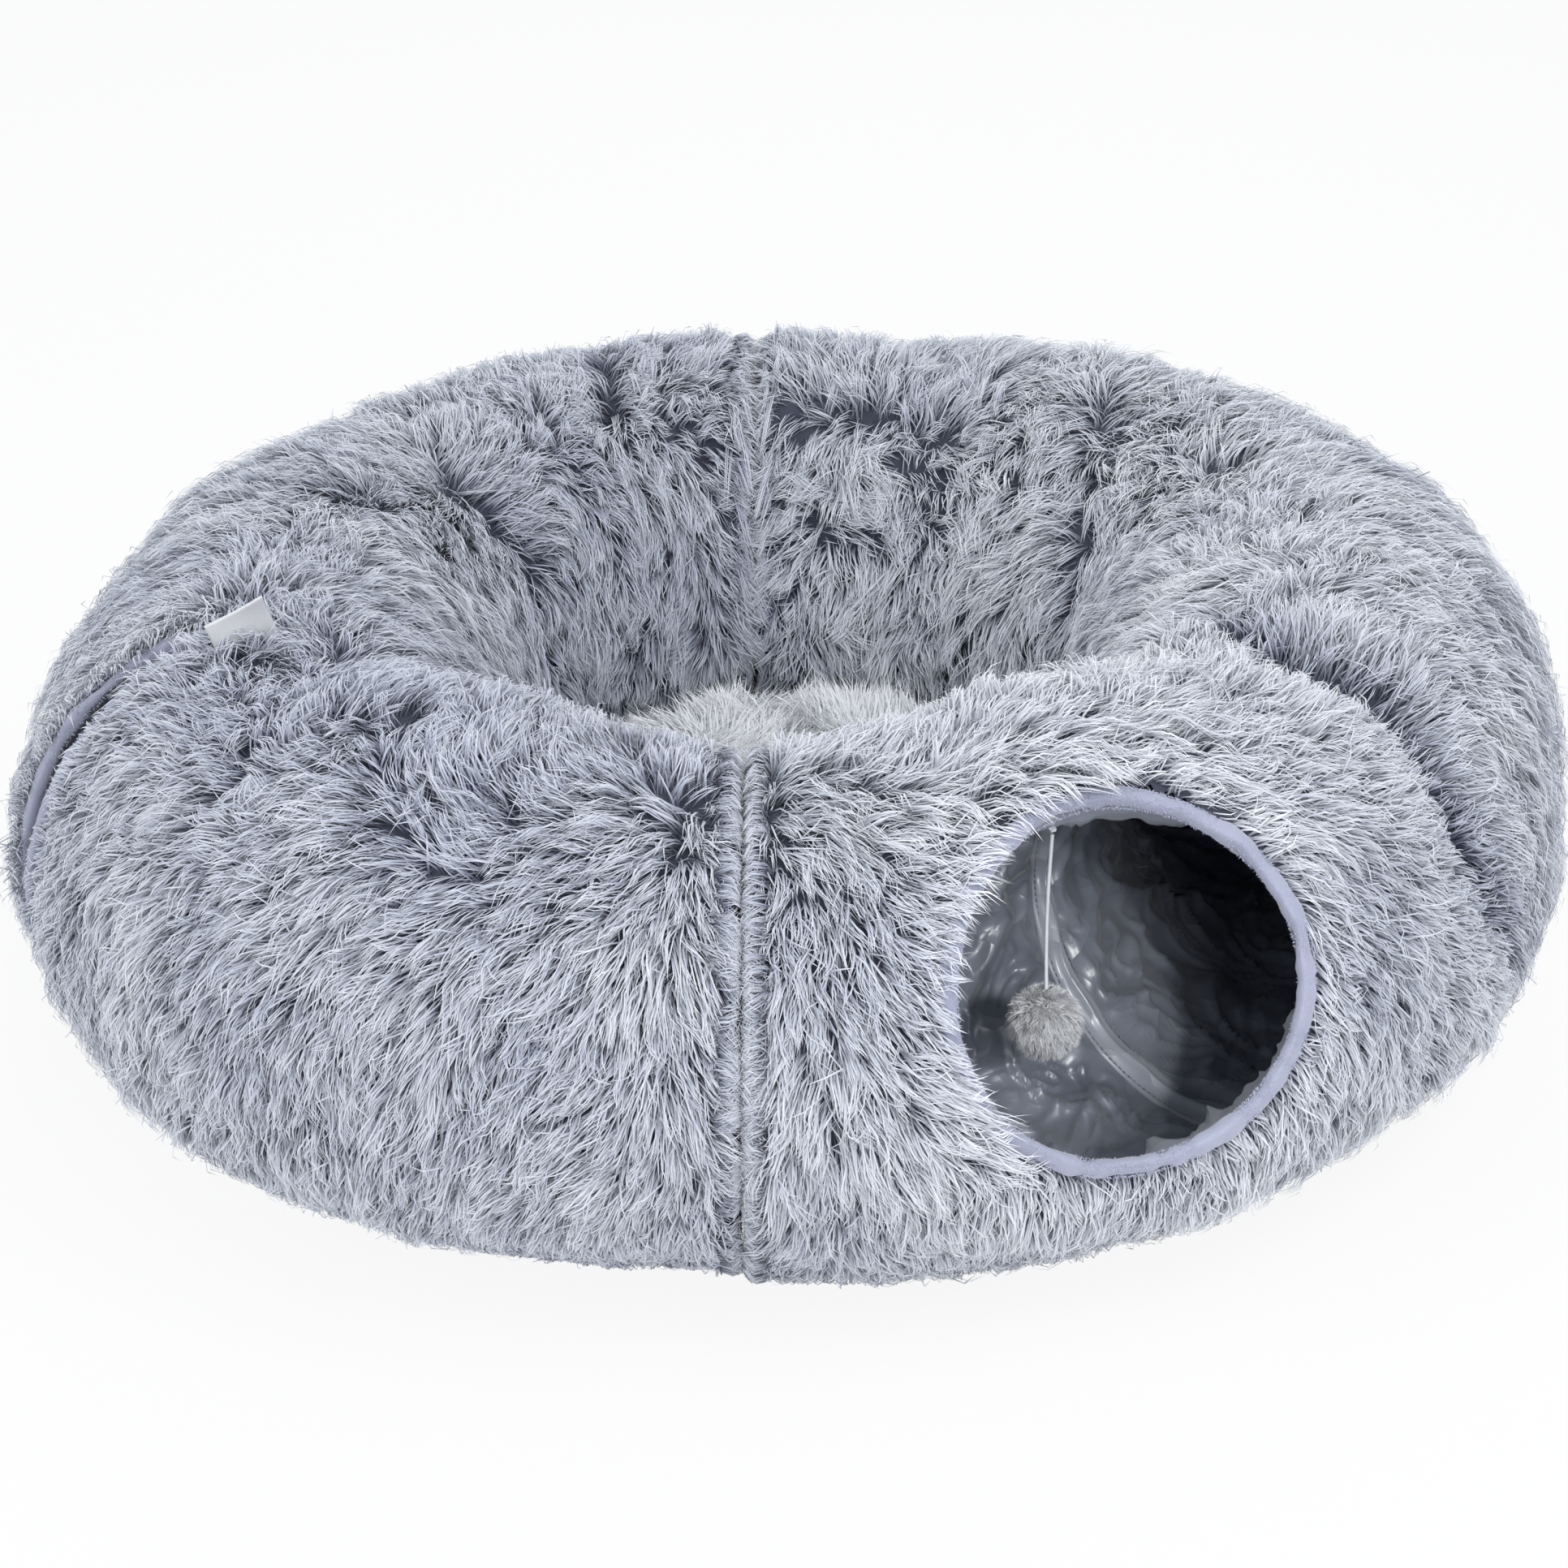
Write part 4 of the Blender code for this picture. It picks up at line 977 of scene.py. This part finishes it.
# Bands beside the zips
def zip_band(half, end, rng):
    """Shorter fur rooted on the sewn band beside a zip, swept over the coil in uneven arcs."""
    clumps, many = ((1500 - 500 * end, 7))
    turn = rng.uniform(LOW_TURN, HIGH_TURN, clumps)
    turn = turn[rng.uniform(0, 1, clumps) < (RING + 0.13 * np.cos(turn)) / (RING + 0.13)]
    clumps = len(turn)
    root = rng.uniform(0.0045, 0.0150, clumps)
    flip = rng.uniform(0, 1, clumps) < 0.10
    stray = root + rng.uniform(0.0, 0.006, clumps)
    tip = np.where(flip, stray, rng.uniform(-0.0004, 0.0016 + 0.004 * end, clumps))
    steps = np.array([0.0, 0.30, 0.66, 1.0])
    sweep = np.tanh((turn - radians(92)) / 0.3) * 0.012 + rng.normal(0, 0.035 + 0.10 * end, clumps)
    bow = rng.normal(0.0, 0.026, clumps)
    gather = rng.uniform(0.55, 0.9, (clumps, 1, 1))
    keep = 1 - steps * (1 - gather)
    off_a, off_t = rng.normal(0, 0.0013, (clumps, many, 1)), rng.normal(0, 0.022, (clumps, many, 1))
    where = root[:, None, None] + (tip - root)[:, None, None] * steps + off_a * keep
    where = np.maximum(where, -0.0012)
    where_t = turn[:, None, None] + off_t * keep + sweep[:, None, None] * steps ** 1.5
    where_t = where_t + bow[:, None, None] * np.sin(pi * steps)
    high = (1 - 0.45 * end) * rng.uniform(0.0040, 0.0085, (clumps, 1, 1))
    high = high * rng.uniform(0.9, 1.1, (clumps, many, 1))
    up = high * np.array([0.0, 0.85, 1.0, 0.45])
    if end:
        where = LENGTH - where
    base = skin_lift(half, where[..., :1], where_t[..., :1])
    dip = 0.0045 * np.clip((0.013 - zip_distance(where)) / 0.013, 0, 1)
    raised = puff(half, where, where_t) * np.clip(zip_distance(where) / 0.006, 0.35, 1)
    base = np.maximum(base, SKIN - 0.006 - dip + raised)
    centres = place(half, where, where_t, base + up)
    foot = place(half, where[..., :1], where_t[..., :1], base[..., :1])
    normal = unit(place(half, where[..., :1], where_t[..., :1], base[..., :1] + 0.002) - foot)
    bare = ruffle(centres[:, 0, 0]) > 1.15
    tone = tone_of(half, centres[:, 0, 0], where[:, 0, 0], turn, np.zeros(clumps), many, rng)
    # Band fur darker than the main fur, much less so on the right: painted shade in the groove along the zip.
    tone = np.clip(tone - 0.22 + 0.16 * (half == "right"), 0.02, 0.98)
    kept = np.broadcast_to(~bare[:, None], (clumps, many))
    parts = finish_strands(centres, normal, kept, rng, tone, STRAND_WIDTH * 0.8)
    name = f"{'front' if end == 0 else 'rear'}_zip_{half}_band"
    sow(name, parts, (half, 2 * end), GREY_FUR)


def zip_bands():
    rng = np.random.default_rng(12)
    for half in HALVES:
        for end in (0, 1):
            zip_band(half, end, rng)


# Lining, casings and bindings
fold_warp = [waves(0.09, 21 + k) for k in range(3)]
creases = [(waves(0.095, 31, 5), 1.0), (waves(0.050, 32, 5), 0.80), (waves(0.026, 33, 6), 0.42)]
HOLE_EDGE, LINING_EDGE, CRUMPLE_DEPTH = 0.0012, 0.0128, 0.0150
# Lowest heights inside the tunnel
LINING_FLOOR, CASING_FLOOR, CASING_BACK, STITCH_FLOOR = 0.0155, 0.0158, 0.0150, 0.0165


def crumple(points):
    """Depth of the crumpled satin: flat facets that meet in sharp creases, at three sizes."""
    warped = points + 0.012 * np.stack([f(points) for f in fold_warp], -1)
    return sum(share * (1 - np.minimum(np.abs(field(warped)) * 1.25, 1.0)) for field, share in creases) / 2.2


def snapped(half, along, turn, spread):
    """The same places, with those inside the opening moved straight out to its edge."""
    opening = OPENINGS[half]
    across, around = hole_parts(half, along, turn)
    reach = np.hypot(across / hole_width(half, across), around / opening["height"]) + 1e-6
    out = 1.006 / reach
    edge_a = along_at(opening["angle"] + across * out / side_radius(half))
    edge_t = opening["turn"] + around * out / OUTER
    moved = spread <= HOLE_EDGE
    return np.where(moved, edge_a, along), np.where(moved, edge_t, turn)


def lining_section(half, section):
    """Crumpled satin inside a section, cut at the opening and flared out to the binding."""
    first, last = section_ends(half, section)
    first, last = max(first, LINING_EDGE), min(last, LENGTH - LINING_EDGE)
    cell = 0.0026
    rows = int((last - first) / cell) + 2
    count = int(2 * pi * BORE / cell)
    along = np.linspace(first, last, rows)
    grid_a, grid_t = round_grid(along, count, -pi / 2)
    spread = hole_spread(half, grid_a, grid_t)
    open_here = OPENINGS[half]["section"] == section
    outside = spread.ravel() > HOLE_EDGE
    if open_here:
        grid_a, grid_t = snapped(half, grid_a, grid_t, spread)
        spread = hole_spread(half, grid_a, grid_t)
    base = place(half, grid_a, grid_t, np.zeros_like(grid_a), 0.0)
    fade = smooth((np.minimum(grid_a - first, last - grid_a) - 0.011) / 0.020)
    folds = crumple(base) * CRUMPLE_DEPTH * (0.05 + 0.95 * fade)
    if open_here:
        folds = folds * np.clip((spread - 0.002) / 0.02, 0, 1)
        folds = folds - swollen(half, ring_angle(grid_a), grid_t, flare(spread))
    points = place(half, grid_a, grid_t, -folds, 0.0, LINING_FLOOR)
    quads = tube_quads(rows, count)[:, ::-1]
    if open_here:
        quads = quads[outside[quads].any(1)]
    made = quad_mesh(f"{half}_{SECTIONS[section]}_satin", points.reshape(-1, 3), quads, SATIN)
    attach(made, (half, section), [f"{half}_{SECTIONS[section]}_lining"])


casing_noise = waves(0.035, 41)
CASING_WIDE, WIRE_RISE, WIRE_WIDE = 0.0135, 0.0040, 0.0032


def stitches(name, centres, tangents, normals, length, width, material):
    """A row of short raised threads, one at each centre."""
    count = len(centres)
    sides = np.cross(tangents, normals)
    steps = np.array([-0.5, -0.3, 0.3, 0.5])
    swell = np.array([0.25, 1.0, 1.0, 0.25])
    corners = np.array([(0.0, 1.0), (0.87, -0.3), (-0.87, -0.3)])
    points = np.empty((count, 4, 3, 3))
    for i, (step, fat) in enumerate(zip(steps, swell)):
        for k, (wide, high) in enumerate(corners):
            out = (sides * wide + normals * high) * fat * width / 2
            points[:, i, k] = centres + tangents * step * length + out
    base = tube_quads(4, 3)
    quads = (np.arange(count)[:, None, None] * 12 + base).reshape(-1, 4)
    return quad_mesh(name, points.reshape(-1, 3), quads, material)


def casing_strip(half, index):
    """Cloth strip sewn over a hoop, humped over the wire and stitched along both edges."""
    hoop = along_at(HALVES[half]["hoops"][index])
    side = [0.1, 0.2, 0.32, 0.5, 0.72, 0.93, 1.0]
    shares = np.array([-share for share in side[::-1]] + [0.0] + side)
    count = 200
    grid_s, grid_t = round_grid(shares, count)
    rough = place(half, hoop + grid_s * CASING_WIDE, grid_t, np.zeros_like(grid_s), 0.0)
    wavy = casing_noise(rough)
    over_wire = WIRE_RISE * hump(grid_s * CASING_WIDE, 0, WIRE_WIDE)
    height = 0.0012 + over_wire + 0.0006 * wavy * (np.abs(grid_s) < 0.95) + 0.0007 * (1 - np.abs(grid_s))
    height = np.where(np.abs(grid_s) > 0.99, 0.0002, height)
    across = hoop + grid_s * CASING_WIDE * (1 + 0.05 * wavy)
    points = place(half, across, grid_t, -height, 0.0, CASING_FLOOR)
    back = place(half, across, grid_t, np.full_like(grid_s, -0.0001), 0.0, CASING_BACK)
    rows = len(shares)
    front, rear = (tube_quads(rows, count, first) for first in (0, rows * count))
    quads = [front[:, ::-1], rear, *end_rings(rows, count)]
    all_points = np.concatenate([points.reshape(-1, 3), back.reshape(-1, 3)])
    made = quad_mesh(f"{half}_{HOOPS[index]}_strip", all_points, np.concatenate(quads), CASING)
    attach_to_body(made, HOOP_BODIES[(half, index)])
    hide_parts(f"{half}_{HOOPS[index]}_casing")

    number = 190
    spots = 2 * pi * (np.arange(number) + 0.5) / number
    sewn_rows = []
    for share in (-0.80, 0.80):
        line = np.full(number, hoop + share * CASING_WIDE)
        at, ahead, inward = (
            place(half, line, spots + step, np.full(number, lift), 0.0, STITCH_FLOOR)
            for step, lift in ((0.0, -0.0023), (0.01, -0.0023), (0.0, -0.0043))
        )
        sewn_rows.append((at, unit(ahead - at), unit(inward - at + 1e-9)))
    sewn_rows = [np.concatenate(parts) for parts in zip(*sewn_rows)]
    sewn = stitches(f"{half}_{HOOPS[index]}_stitches", *sewn_rows, 0.0027, 0.0008, THREAD)
    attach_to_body(sewn, HOOP_BODIES[(half, index)])


bind_noise = waves(0.028, 51)
bind_fine = waves(0.011, 52)
BIND_MIDDLE, BIND_WIDE, BIND_THICK, BIND_LIFT = 0.0031, 0.0042, 0.0022, SKIN + 0.0005
BIND_SQUARE = 2 / 3.2
STITCH_LINE = 0.0058


def rounded_square(turn):
    """Places round the binding's section, as (wide, high) parts of its half width and half thickness."""
    return [np.sign(part) * np.abs(part) ** BIND_SQUARE for part in (np.cos(turn), np.sin(turn))]


def binding_ring(half):
    """Soft velour band folded over the cut edge, a little uneven, with a line of stitches."""
    count, sides = 260, 20
    grid_s, grid_t = round_grid(np.arange(count) / count, sides)
    wide, high = rounded_square(grid_t)
    rough = hole_point(half, 0.004, grid_s, SKIN)
    puffed = 0.0005 * bind_noise(rough) + 0.0003 * bind_fine(rough)
    spread = BIND_MIDDLE + 0.0006 * bind_noise(rough + 0.3) + wide * (BIND_WIDE + puffed)
    lift = BIND_LIFT + high * (BIND_THICK + puffed * 0.8)
    points = hole_point(half, spread, grid_s, lift)
    made = quad_mesh(f"{half}_binding", points.reshape(-1, 3), grid_quads(count, sides, True, True), VELOUR)
    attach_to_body(made, f"{half}_half")
    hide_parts(f"{half}_opening_binding")

    number = 150
    share = (np.arange(number) + 0.5) / number
    top = BIND_LIFT + BIND_THICK
    at, ahead, raised = (
        hole_point(half, STITCH_LINE, share + step, top + lift)
        for step, lift in ((0, -0.0001), (0.002, -0.0001), (0, 0.0020))
    )
    lines = at, unit(ahead - at), unit(raised - at)
    sewn = stitches(f"{half}_binding_stitches", *lines, 0.0026, 0.0007, VELOUR_THREAD)
    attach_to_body(sewn, f"{half}_half")

    rng = np.random.default_rng(60 + (half == "left"))
    total = 14000
    share = rng.uniform(0, 1, total)
    wide, high = rounded_square(rng.uniform(-0.25, 0.75, total) * 2 * pi)
    root, out = (
        hole_point(half, BIND_MIDDLE + wide * BIND_WIDE * far, share, BIND_LIFT + high * BIND_THICK * up)
        for far, up in ((0.97, 0.97), (1.7, 2.6))
    )
    normal = unit(out - root)
    lean = unit(rng.normal(size=(total, 3))) * 0.9
    way = unit(normal + lean)
    reach = rng.uniform(0.0009, 0.0019, total)
    centres = root[:, None] + way[:, None] * (reach[:, None] * STEPS)[..., None]
    facing = unit(rng.normal(size=(total, 1, 1, 3)))
    tone = np.clip(rng.normal(0.5, 0.2, (total, 1)), 0.02, 0.98)
    parts = finish_strands(centres[:, None], facing, np.ones((total, 1), bool), rng, tone, 0.00028)
    nap = strands(f"{half}_binding_nap", *parts, NAP)
    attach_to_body(nap, f"{half}_half")


NAP = fur_material(
    "velour_nap",
    [(0.0, (0.38, 0.40, 0.52)), (1.0, (0.50, 0.52, 0.65))],
    [(0.0, (0.47, 0.49, 0.62)), (1.0, (0.61, 0.63, 0.75))],
)


# Toy
BALL, FUZZ_ROOT = 0.0135, 0.0125
KNOT_SIZE, KNOT_CORD = 0.00052, 0.00075


def knot_path(t):
    """Centre line of the knot, a trefoil."""
    return np.array([sin(t) + 2 * sin(2 * t), cos(t) - 2 * cos(2 * t), -sin(3 * t)]) * KNOT_SIZE


def toy():
    """Knot, cord and fluffy pom-pom that hang in the right opening."""
    low, high = (np.array(v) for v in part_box("toy_pompom"))
    centre = (low + high) / 2
    cord_low, cord_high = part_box("toy_cord")
    knot_low, knot_high = (np.array(v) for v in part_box("toy_knot"))
    pivot = (knot_low + knot_high) / 2

    top, bottom = cord_high[2], cord_low[2]
    curve = bpy.data.curves.new("cord", "CURVE")
    curve.dimensions = "3D"
    curve.bevel_depth = 0.001
    curve.bevel_resolution = 4
    curve.use_fill_caps = True
    spline = curve.splines.new("POLY")
    number = 24
    spline.points.add(number - 1)
    for k, point in enumerate(spline.points):
        share = k / (number - 1)
        sway = 0.0011 * sin(pi * share)
        point.co = (pivot[0] - sway, pivot[1], top + (bottom - top) * share, 1)
    cord = bpy.data.objects.new("cord", curve)
    bpy.context.scene.collection.objects.link(cord)
    curve.materials.append(CORD_CLOTH)
    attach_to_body(cord, "toy_swing")
    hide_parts("toy_cord")

    rng = np.random.default_rng(71)
    rows, count = 20, 32
    grid_p, grid_t = round_grid(pi * (np.arange(rows) + 0.5) / rows, count)
    ball = np.stack([np.sin(grid_p) * np.cos(grid_t), np.sin(grid_p) * np.sin(grid_t), np.cos(grid_p)], -1)
    lumps = waves(0.014, 72)
    radius = BALL + 0.0007 * lumps(ball * BALL)
    points = (ball * radius[..., None] + centre).reshape(-1, 3)
    points = np.concatenate([points, [centre + (0, 0, BALL)], [centre - (0, 0, BALL)]])
    quads = tube_quads(rows, count)[:, ::-1]
    core = bmesh.new()
    corners = [core.verts.new(point) for point in points]
    for quad in quads:
        core.faces.new([corners[i] for i in quad])
    last = (rows - 1) * count
    for i in range(count):
        after = (i + 1) % count
        core.faces.new([corners[-2], corners[i], corners[after]])
        core.faces.new([corners[-1], corners[last + after], corners[last + i]])
    bmesh.ops.recalc_face_normals(core, faces=core.faces)
    mesh = bpy.data.meshes.new("pompom_core")
    core.to_mesh(mesh)
    core.free()
    mesh.shade_smooth()
    ball_core = link("pompom_core", mesh, BALL_SKIN)
    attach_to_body(ball_core, "toy_swing")
    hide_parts("toy_pompom")

    clumps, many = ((1500, 10))
    ways = unit(rng.normal(size=(clumps, 3)))
    comb_way = unit(np.array([0.3, -0.4, -0.85]) + 0.5 * rng.normal(size=(clumps, 3)))
    roots = unit(ways[:, None] + 0.075 * rng.normal(size=(clumps, many, 3)))
    tips = unit(ways[:, None] + 0.05 * rng.normal(size=(clumps, many, 3)) + 0.34 * comb_way[:, None])
    reach = rng.uniform(0.0175, 0.0212, (clumps, 1)) + rng.normal(0, 0.0005, (clumps, many))
    turned = STEPS[:, None] ** 1.6
    way = unit(roots[:, :, None] * (1 - turned) + tips[:, :, None] * turned)
    far = FUZZ_ROOT + (reach[..., None] - FUZZ_ROOT) * STEPS
    centres = centre + way * far[..., None]
    tone = np.clip(0.5 + 0.25 * lumps(ways * 0.02)[:, None] + rng.normal(0, 0.15, (clumps, many)), 0.02, 0.98)
    parts = finish_strands(centres, roots[:, :, None], np.ones((clumps, many), bool), rng, tone, 0.00050)
    fuzz = strands("pompom_fuzz", *parts, BALL_FUR)
    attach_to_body(fuzz, "toy_swing")

    knot_points = []
    loops, ring = 48, 8
    for k in range(loops):
        here, ahead = knot_path(2 * pi * k / loops), knot_path(2 * pi * k / loops + 0.01)
        forward = unit(ahead - here)
        side = unit(np.cross(forward, [0.2, 0.3, 1.0]))
        other = np.cross(forward, side)
        for j in range(ring):
            a = 2 * pi * j / ring
            knot_points.append(pivot + here + (side * cos(a) + other * sin(a)) * KNOT_CORD)
    made = quad_mesh("cord_knot", np.array(knot_points), grid_quads(loops, ring, True, True), CORD_CLOTH)
    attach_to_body(made, "toy_swivel")
    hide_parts("toy_knot")


# Mat
MAT_RADIUS, MAT_HIGH, MAT_EDGE, MAT_UNDER = 0.171, 0.117, 0.004, 0.0026


def mat_height(radius):
    """Height of the cushion's nearly flat top at a distance from its middle, rounded at its edge."""
    share = np.clip(radius / MAT_RADIUS, 0, 1)
    return MAT_EDGE + (MAT_HIGH - MAT_EDGE) * (1 - share ** 6.0) ** 0.5 * (1 - 0.04 * share ** 2)


def mat():
    """Round white cushion in the well, with its long fluff."""
    rng = np.random.default_rng(81)
    lumps = waves(0.10, 82)
    rows, count = 40, 120
    share = np.sin(np.linspace(0.02, 1.0, rows) * pi / 2)
    grid_r, grid_t = round_grid(share * (MAT_RADIUS - 0.001), count)
    flat = np.stack([grid_r * np.cos(grid_t), grid_r * np.sin(grid_t), np.zeros_like(grid_r)], -1)
    top = flat.copy()
    top[..., 2] = mat_height(grid_r) + 0.003 * lumps(flat) * (1 - (grid_r / MAT_RADIUS) ** 4)
    under = flat.copy()
    under[..., 2] = MAT_UNDER
    points = np.concatenate([top.reshape(-1, 3), under.reshape(-1, 3)])
    total = rows * count
    k = np.arange(count)
    m = (k + 1) % count
    quads = [tube_quads(rows, count), tube_quads(rows, count, total)[:, ::-1]]
    base = (rows - 1) * count
    quads.append(np.stack([base + k, total + base + k, total + base + m, base + m], -1))
    caps = np.arange(count // 2 - 1)
    for first in (0, total):
        over = first + count - 1 - caps
        quads.append(np.stack([first + caps, first + caps + 1, over - 1, over], -1))
    cover = quad_mesh("mat_cushion", points, np.concatenate(quads), MAT_SKIN)
    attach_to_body(cover, "mat")
    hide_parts("mat_cover")

    clumps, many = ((5200, 11))
    radius = (MAT_RADIUS - 0.001) * np.sqrt(rng.uniform(0, 1, clumps))
    angle = rng.uniform(0, 2 * pi, clumps)
    rim = rng.uniform(0, 1, clumps) < 0.16
    radius = np.where(rim, rng.uniform(MAT_RADIUS - 0.010, MAT_RADIUS - 0.001, clumps), radius)
    off = rng.normal(0, 0.0045, (clumps, many, 2))
    x = (radius * np.cos(angle))[:, None] + off[..., 0]
    y = (radius * np.sin(angle))[:, None] + off[..., 1]
    dist = np.minimum(np.hypot(x, y), MAT_RADIUS - 0.0012)
    azimuth = np.arctan2(y, x)
    height = mat_height(dist) - 0.001
    slope = (mat_height(dist + 0.001) - mat_height(dist)) / 0.001
    slope = np.clip(slope, -6, 0)
    normal = unit(np.stack([-slope * np.cos(azimuth), -slope * np.sin(azimuth), np.ones_like(slope)], -1))
    root = np.stack([dist * np.cos(azimuth), dist * np.sin(azimuth), height], -1)
    flow = waves(0.06, 83), waves(0.06, 84)
    middle = root[:, :1]
    comb_way = np.stack([flow[0](middle), flow[1](middle), np.zeros(middle.shape[:-1])], -1) * 0.7
    comb_way = comb_way + 0.25 * rng.normal(size=(clumps, 1, 3)) + 0.15 * rng.normal(size=(clumps, many, 3))
    reach = rng.uniform(0.018, 0.026, (clumps, 1)) * rng.uniform(0.85, 1.1, (clumps, many))
    gathered = -np.concatenate([off, np.zeros((clumps, many, 1))], -1) * 0.5
    out = reach[..., None] * STEPS * (1 - 0.25 * STEPS)
    centres = root[:, :, None] + normal[:, :, None] * out[..., None]
    centres = centres + comb_way[:, :, None] * (reach[..., None] * STEPS ** 1.7)[..., None] * 0.75
    centres = centres + gathered[:, :, None] * STEPS[:, None]
    centres[..., 2] = np.maximum(centres[..., 2], 0.0008)
    tone = np.clip(0.6 + 0.2 * lumps(middle) + rng.normal(0, 0.12, (clumps, many)), 0.02, 0.98)
    parts = finish_strands(centres, normal[:, :, None], np.ones((clumps, many), bool), rng, tone, 0.0011)
    order = np.arange(len(parts[0]))
    for k, chosen in enumerate(np.array_split(order, max(1, int(np.ceil(len(order) / PIECE_STRANDS))))):
        fluff = strands(f"mat_fluff_{k + 1}", *[p[chosen] for p in parts], WHITE_FUR)
        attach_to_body(fluff, "mat")


# Label
def label():
    """Bare folded label: one ribbon turned over on itself, a little bowed."""
    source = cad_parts["side_label"]
    corners = np.array([source.matrix_world @ v.co for v in source.data.vertices])
    centre = corners.mean(0) + np.array([0.008, 0.003, 0.007])
    ways = np.linalg.eigh(np.cov((corners - centre).T))[1]
    thick, tall, wide = ways[:, 0], ways[:, 1], ways[:, 2]
    if tall[2] < 0:
        tall = -tall
    height = np.ptp((corners - centre) @ tall)
    width = np.ptp((corners - centre) @ wide)
    rows, count = 44, 22
    length = 2 * height + 0.002
    run = np.linspace(0, length, rows)
    across = np.linspace(-width / 2, width / 2, count)
    gap = 0.00045
    points = []
    for distance in run:
        share = min(min(distance, length - distance) / height, 1.0)
        over = (distance - height) / (length - 2 * height)
        side = -1 if distance < length / 2 else 1
        if 0 < over < 1:
            up = height + gap * sin(pi * over) - height / 2
            out = -gap * cos(pi * over)
        else:
            up = share * height - height / 2
            out = side * gap
        for wide_at in across:
            bow = 0.0016 * cos(pi * wide_at / width) * share + 0.0008 * sin(5 * share + 90 * wide_at)
            points.append(centre + wide * wide_at + tall * up + thick * (out + bow))
    made = quad_mesh("bare_label", np.array(points), grid_quads(rows, count), LABEL)
    solid = made.modifiers.new("thickness", "SOLIDIFY")
    solid.thickness = 0.0003
    solid.offset = 0
    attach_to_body(made, "left_half")
    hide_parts("side_label")


# CAD pieces that stay
def dress_frame():
    looks = {"_hoop": STEEL, "_tape": TAPE, "_coil": COIL, "_slider": ZIP_METAL, "_pull": ZIP_METAL}
    looks.update(mat_base=BASE_CLOTH, mat_filling=FILLING)
    for name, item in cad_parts.items():
        for ending, material in looks.items():
            if name.endswith(ending):
                item.data.materials.clear()
                item.data.materials.append(material)


# Stage and light
WHITE = (1.0, 1.0, 1.0, 1.0)
FLOOR_HALF = 12.0


def aim_lamp(data, start, aim):
    lamp = bpy.data.objects.new(data.name, data)
    lamp.location = start
    lamp.rotation_euler = (Vector(aim) - Vector(start)).to_track_quat("-Z", "Y").to_euler()
    bpy.context.scene.collection.objects.link(lamp)


def stage():
    mesh = bpy.data.meshes.new("floor")
    corners = [(x * FLOOR_HALF, y * FLOOR_HALF, 0) for x, y in ((-1, -1), (1, -1), (1, 1), (-1, 1))]
    mesh.from_pydata(corners, [], [(0, 1, 2, 3)])
    made, tree, shader = new_material("floor")
    set_sockets(shader, Base_Color=(0.86, 0.86, 0.87, 1.0), Roughness=0.9, Specular_IOR_Level=0.1)
    glow = node(tree, "ShaderNodeEmission", Color=WHITE, Strength=1.0)
    blend = tree.nodes.new("ShaderNodeMixShader")
    paths = tree.nodes.new("ShaderNodeLightPath")
    share = maths(tree, "MULTIPLY", paths.outputs["Is Camera Ray"], 0.90)
    tree.links.new(share, blend.inputs["Fac"])
    tree.links.new(shader.outputs["BSDF"], blend.inputs[1])
    tree.links.new(glow.outputs["Emission"], blend.inputs[2])
    tree.links.new(blend.outputs["Shader"], tree.nodes["Material Output"].inputs["Surface"])
    floor = link("floor", mesh, made)

    world = bpy.data.worlds.new("world")
    bpy.context.scene.world = world
    world.use_nodes = True
    tree = world.node_tree
    background = set_sockets(tree.nodes["Background"], Color=(0.90, 0.94, 1.0, 1.0), Strength=0.60)
    white = node(tree, "ShaderNodeBackground", Color=WHITE, Strength=1.0)
    paths = tree.nodes.new("ShaderNodeLightPath")
    seen = maths(tree, "MAXIMUM", paths.outputs["Is Camera Ray"], paths.outputs["Is Transmission Ray"])
    both = tree.nodes.new("ShaderNodeMixShader")
    tree.links.new(seen, both.inputs["Fac"])
    tree.links.new(background.outputs["Background"], both.inputs[1])
    tree.links.new(white.outputs["Background"], both.inputs[2])
    tree.links.new(both.outputs["Shader"], tree.nodes["World Output"].inputs["Surface"])

    for name, start, aim, size, power in (
        ("key", (0.9, -1.2, 2.4), (0.0, 0.0, 0.1), 1.7, 27.0),
        ("fill", (-1.9, -1.5, 1.6), (0.0, 0.0, 0.1), 2.0, 18.0),
        ("low", (0.35, -2.1, 1.05), (0.18, -0.36, 0.19), 0.35, 7.0),
        ("back", (0.2, 2.2, 2.2), (0.0, 0.0, 0.1), 2.0, 16.0),
    ):
        data = bpy.data.lights.new(name, "AREA")
        data.shape = "DISK"
        data.size = size
        data.energy = power
        aim_lamp(data, start, aim)
    data = bpy.data.lights.new("opening", "SPOT")
    data.energy, data.spot_size, data.spot_blend, data.shadow_soft_size = 74.0, radians(6.6), 0.6, 0.06
    aim_lamp(data, (0.42, -2.0, 1.20), (0.172, -0.385, 0.197))


# Build
toy()
dress_frame()
for half_name in HALVES:
    for section_number in range(3):
        lining_section(half_name, section_number)
    for hoop_number in range(4):
        casing_strip(half_name, hoop_number)
    binding_ring(half_name)
fur_sections()
zip_bands()
mat()
label()
stage()
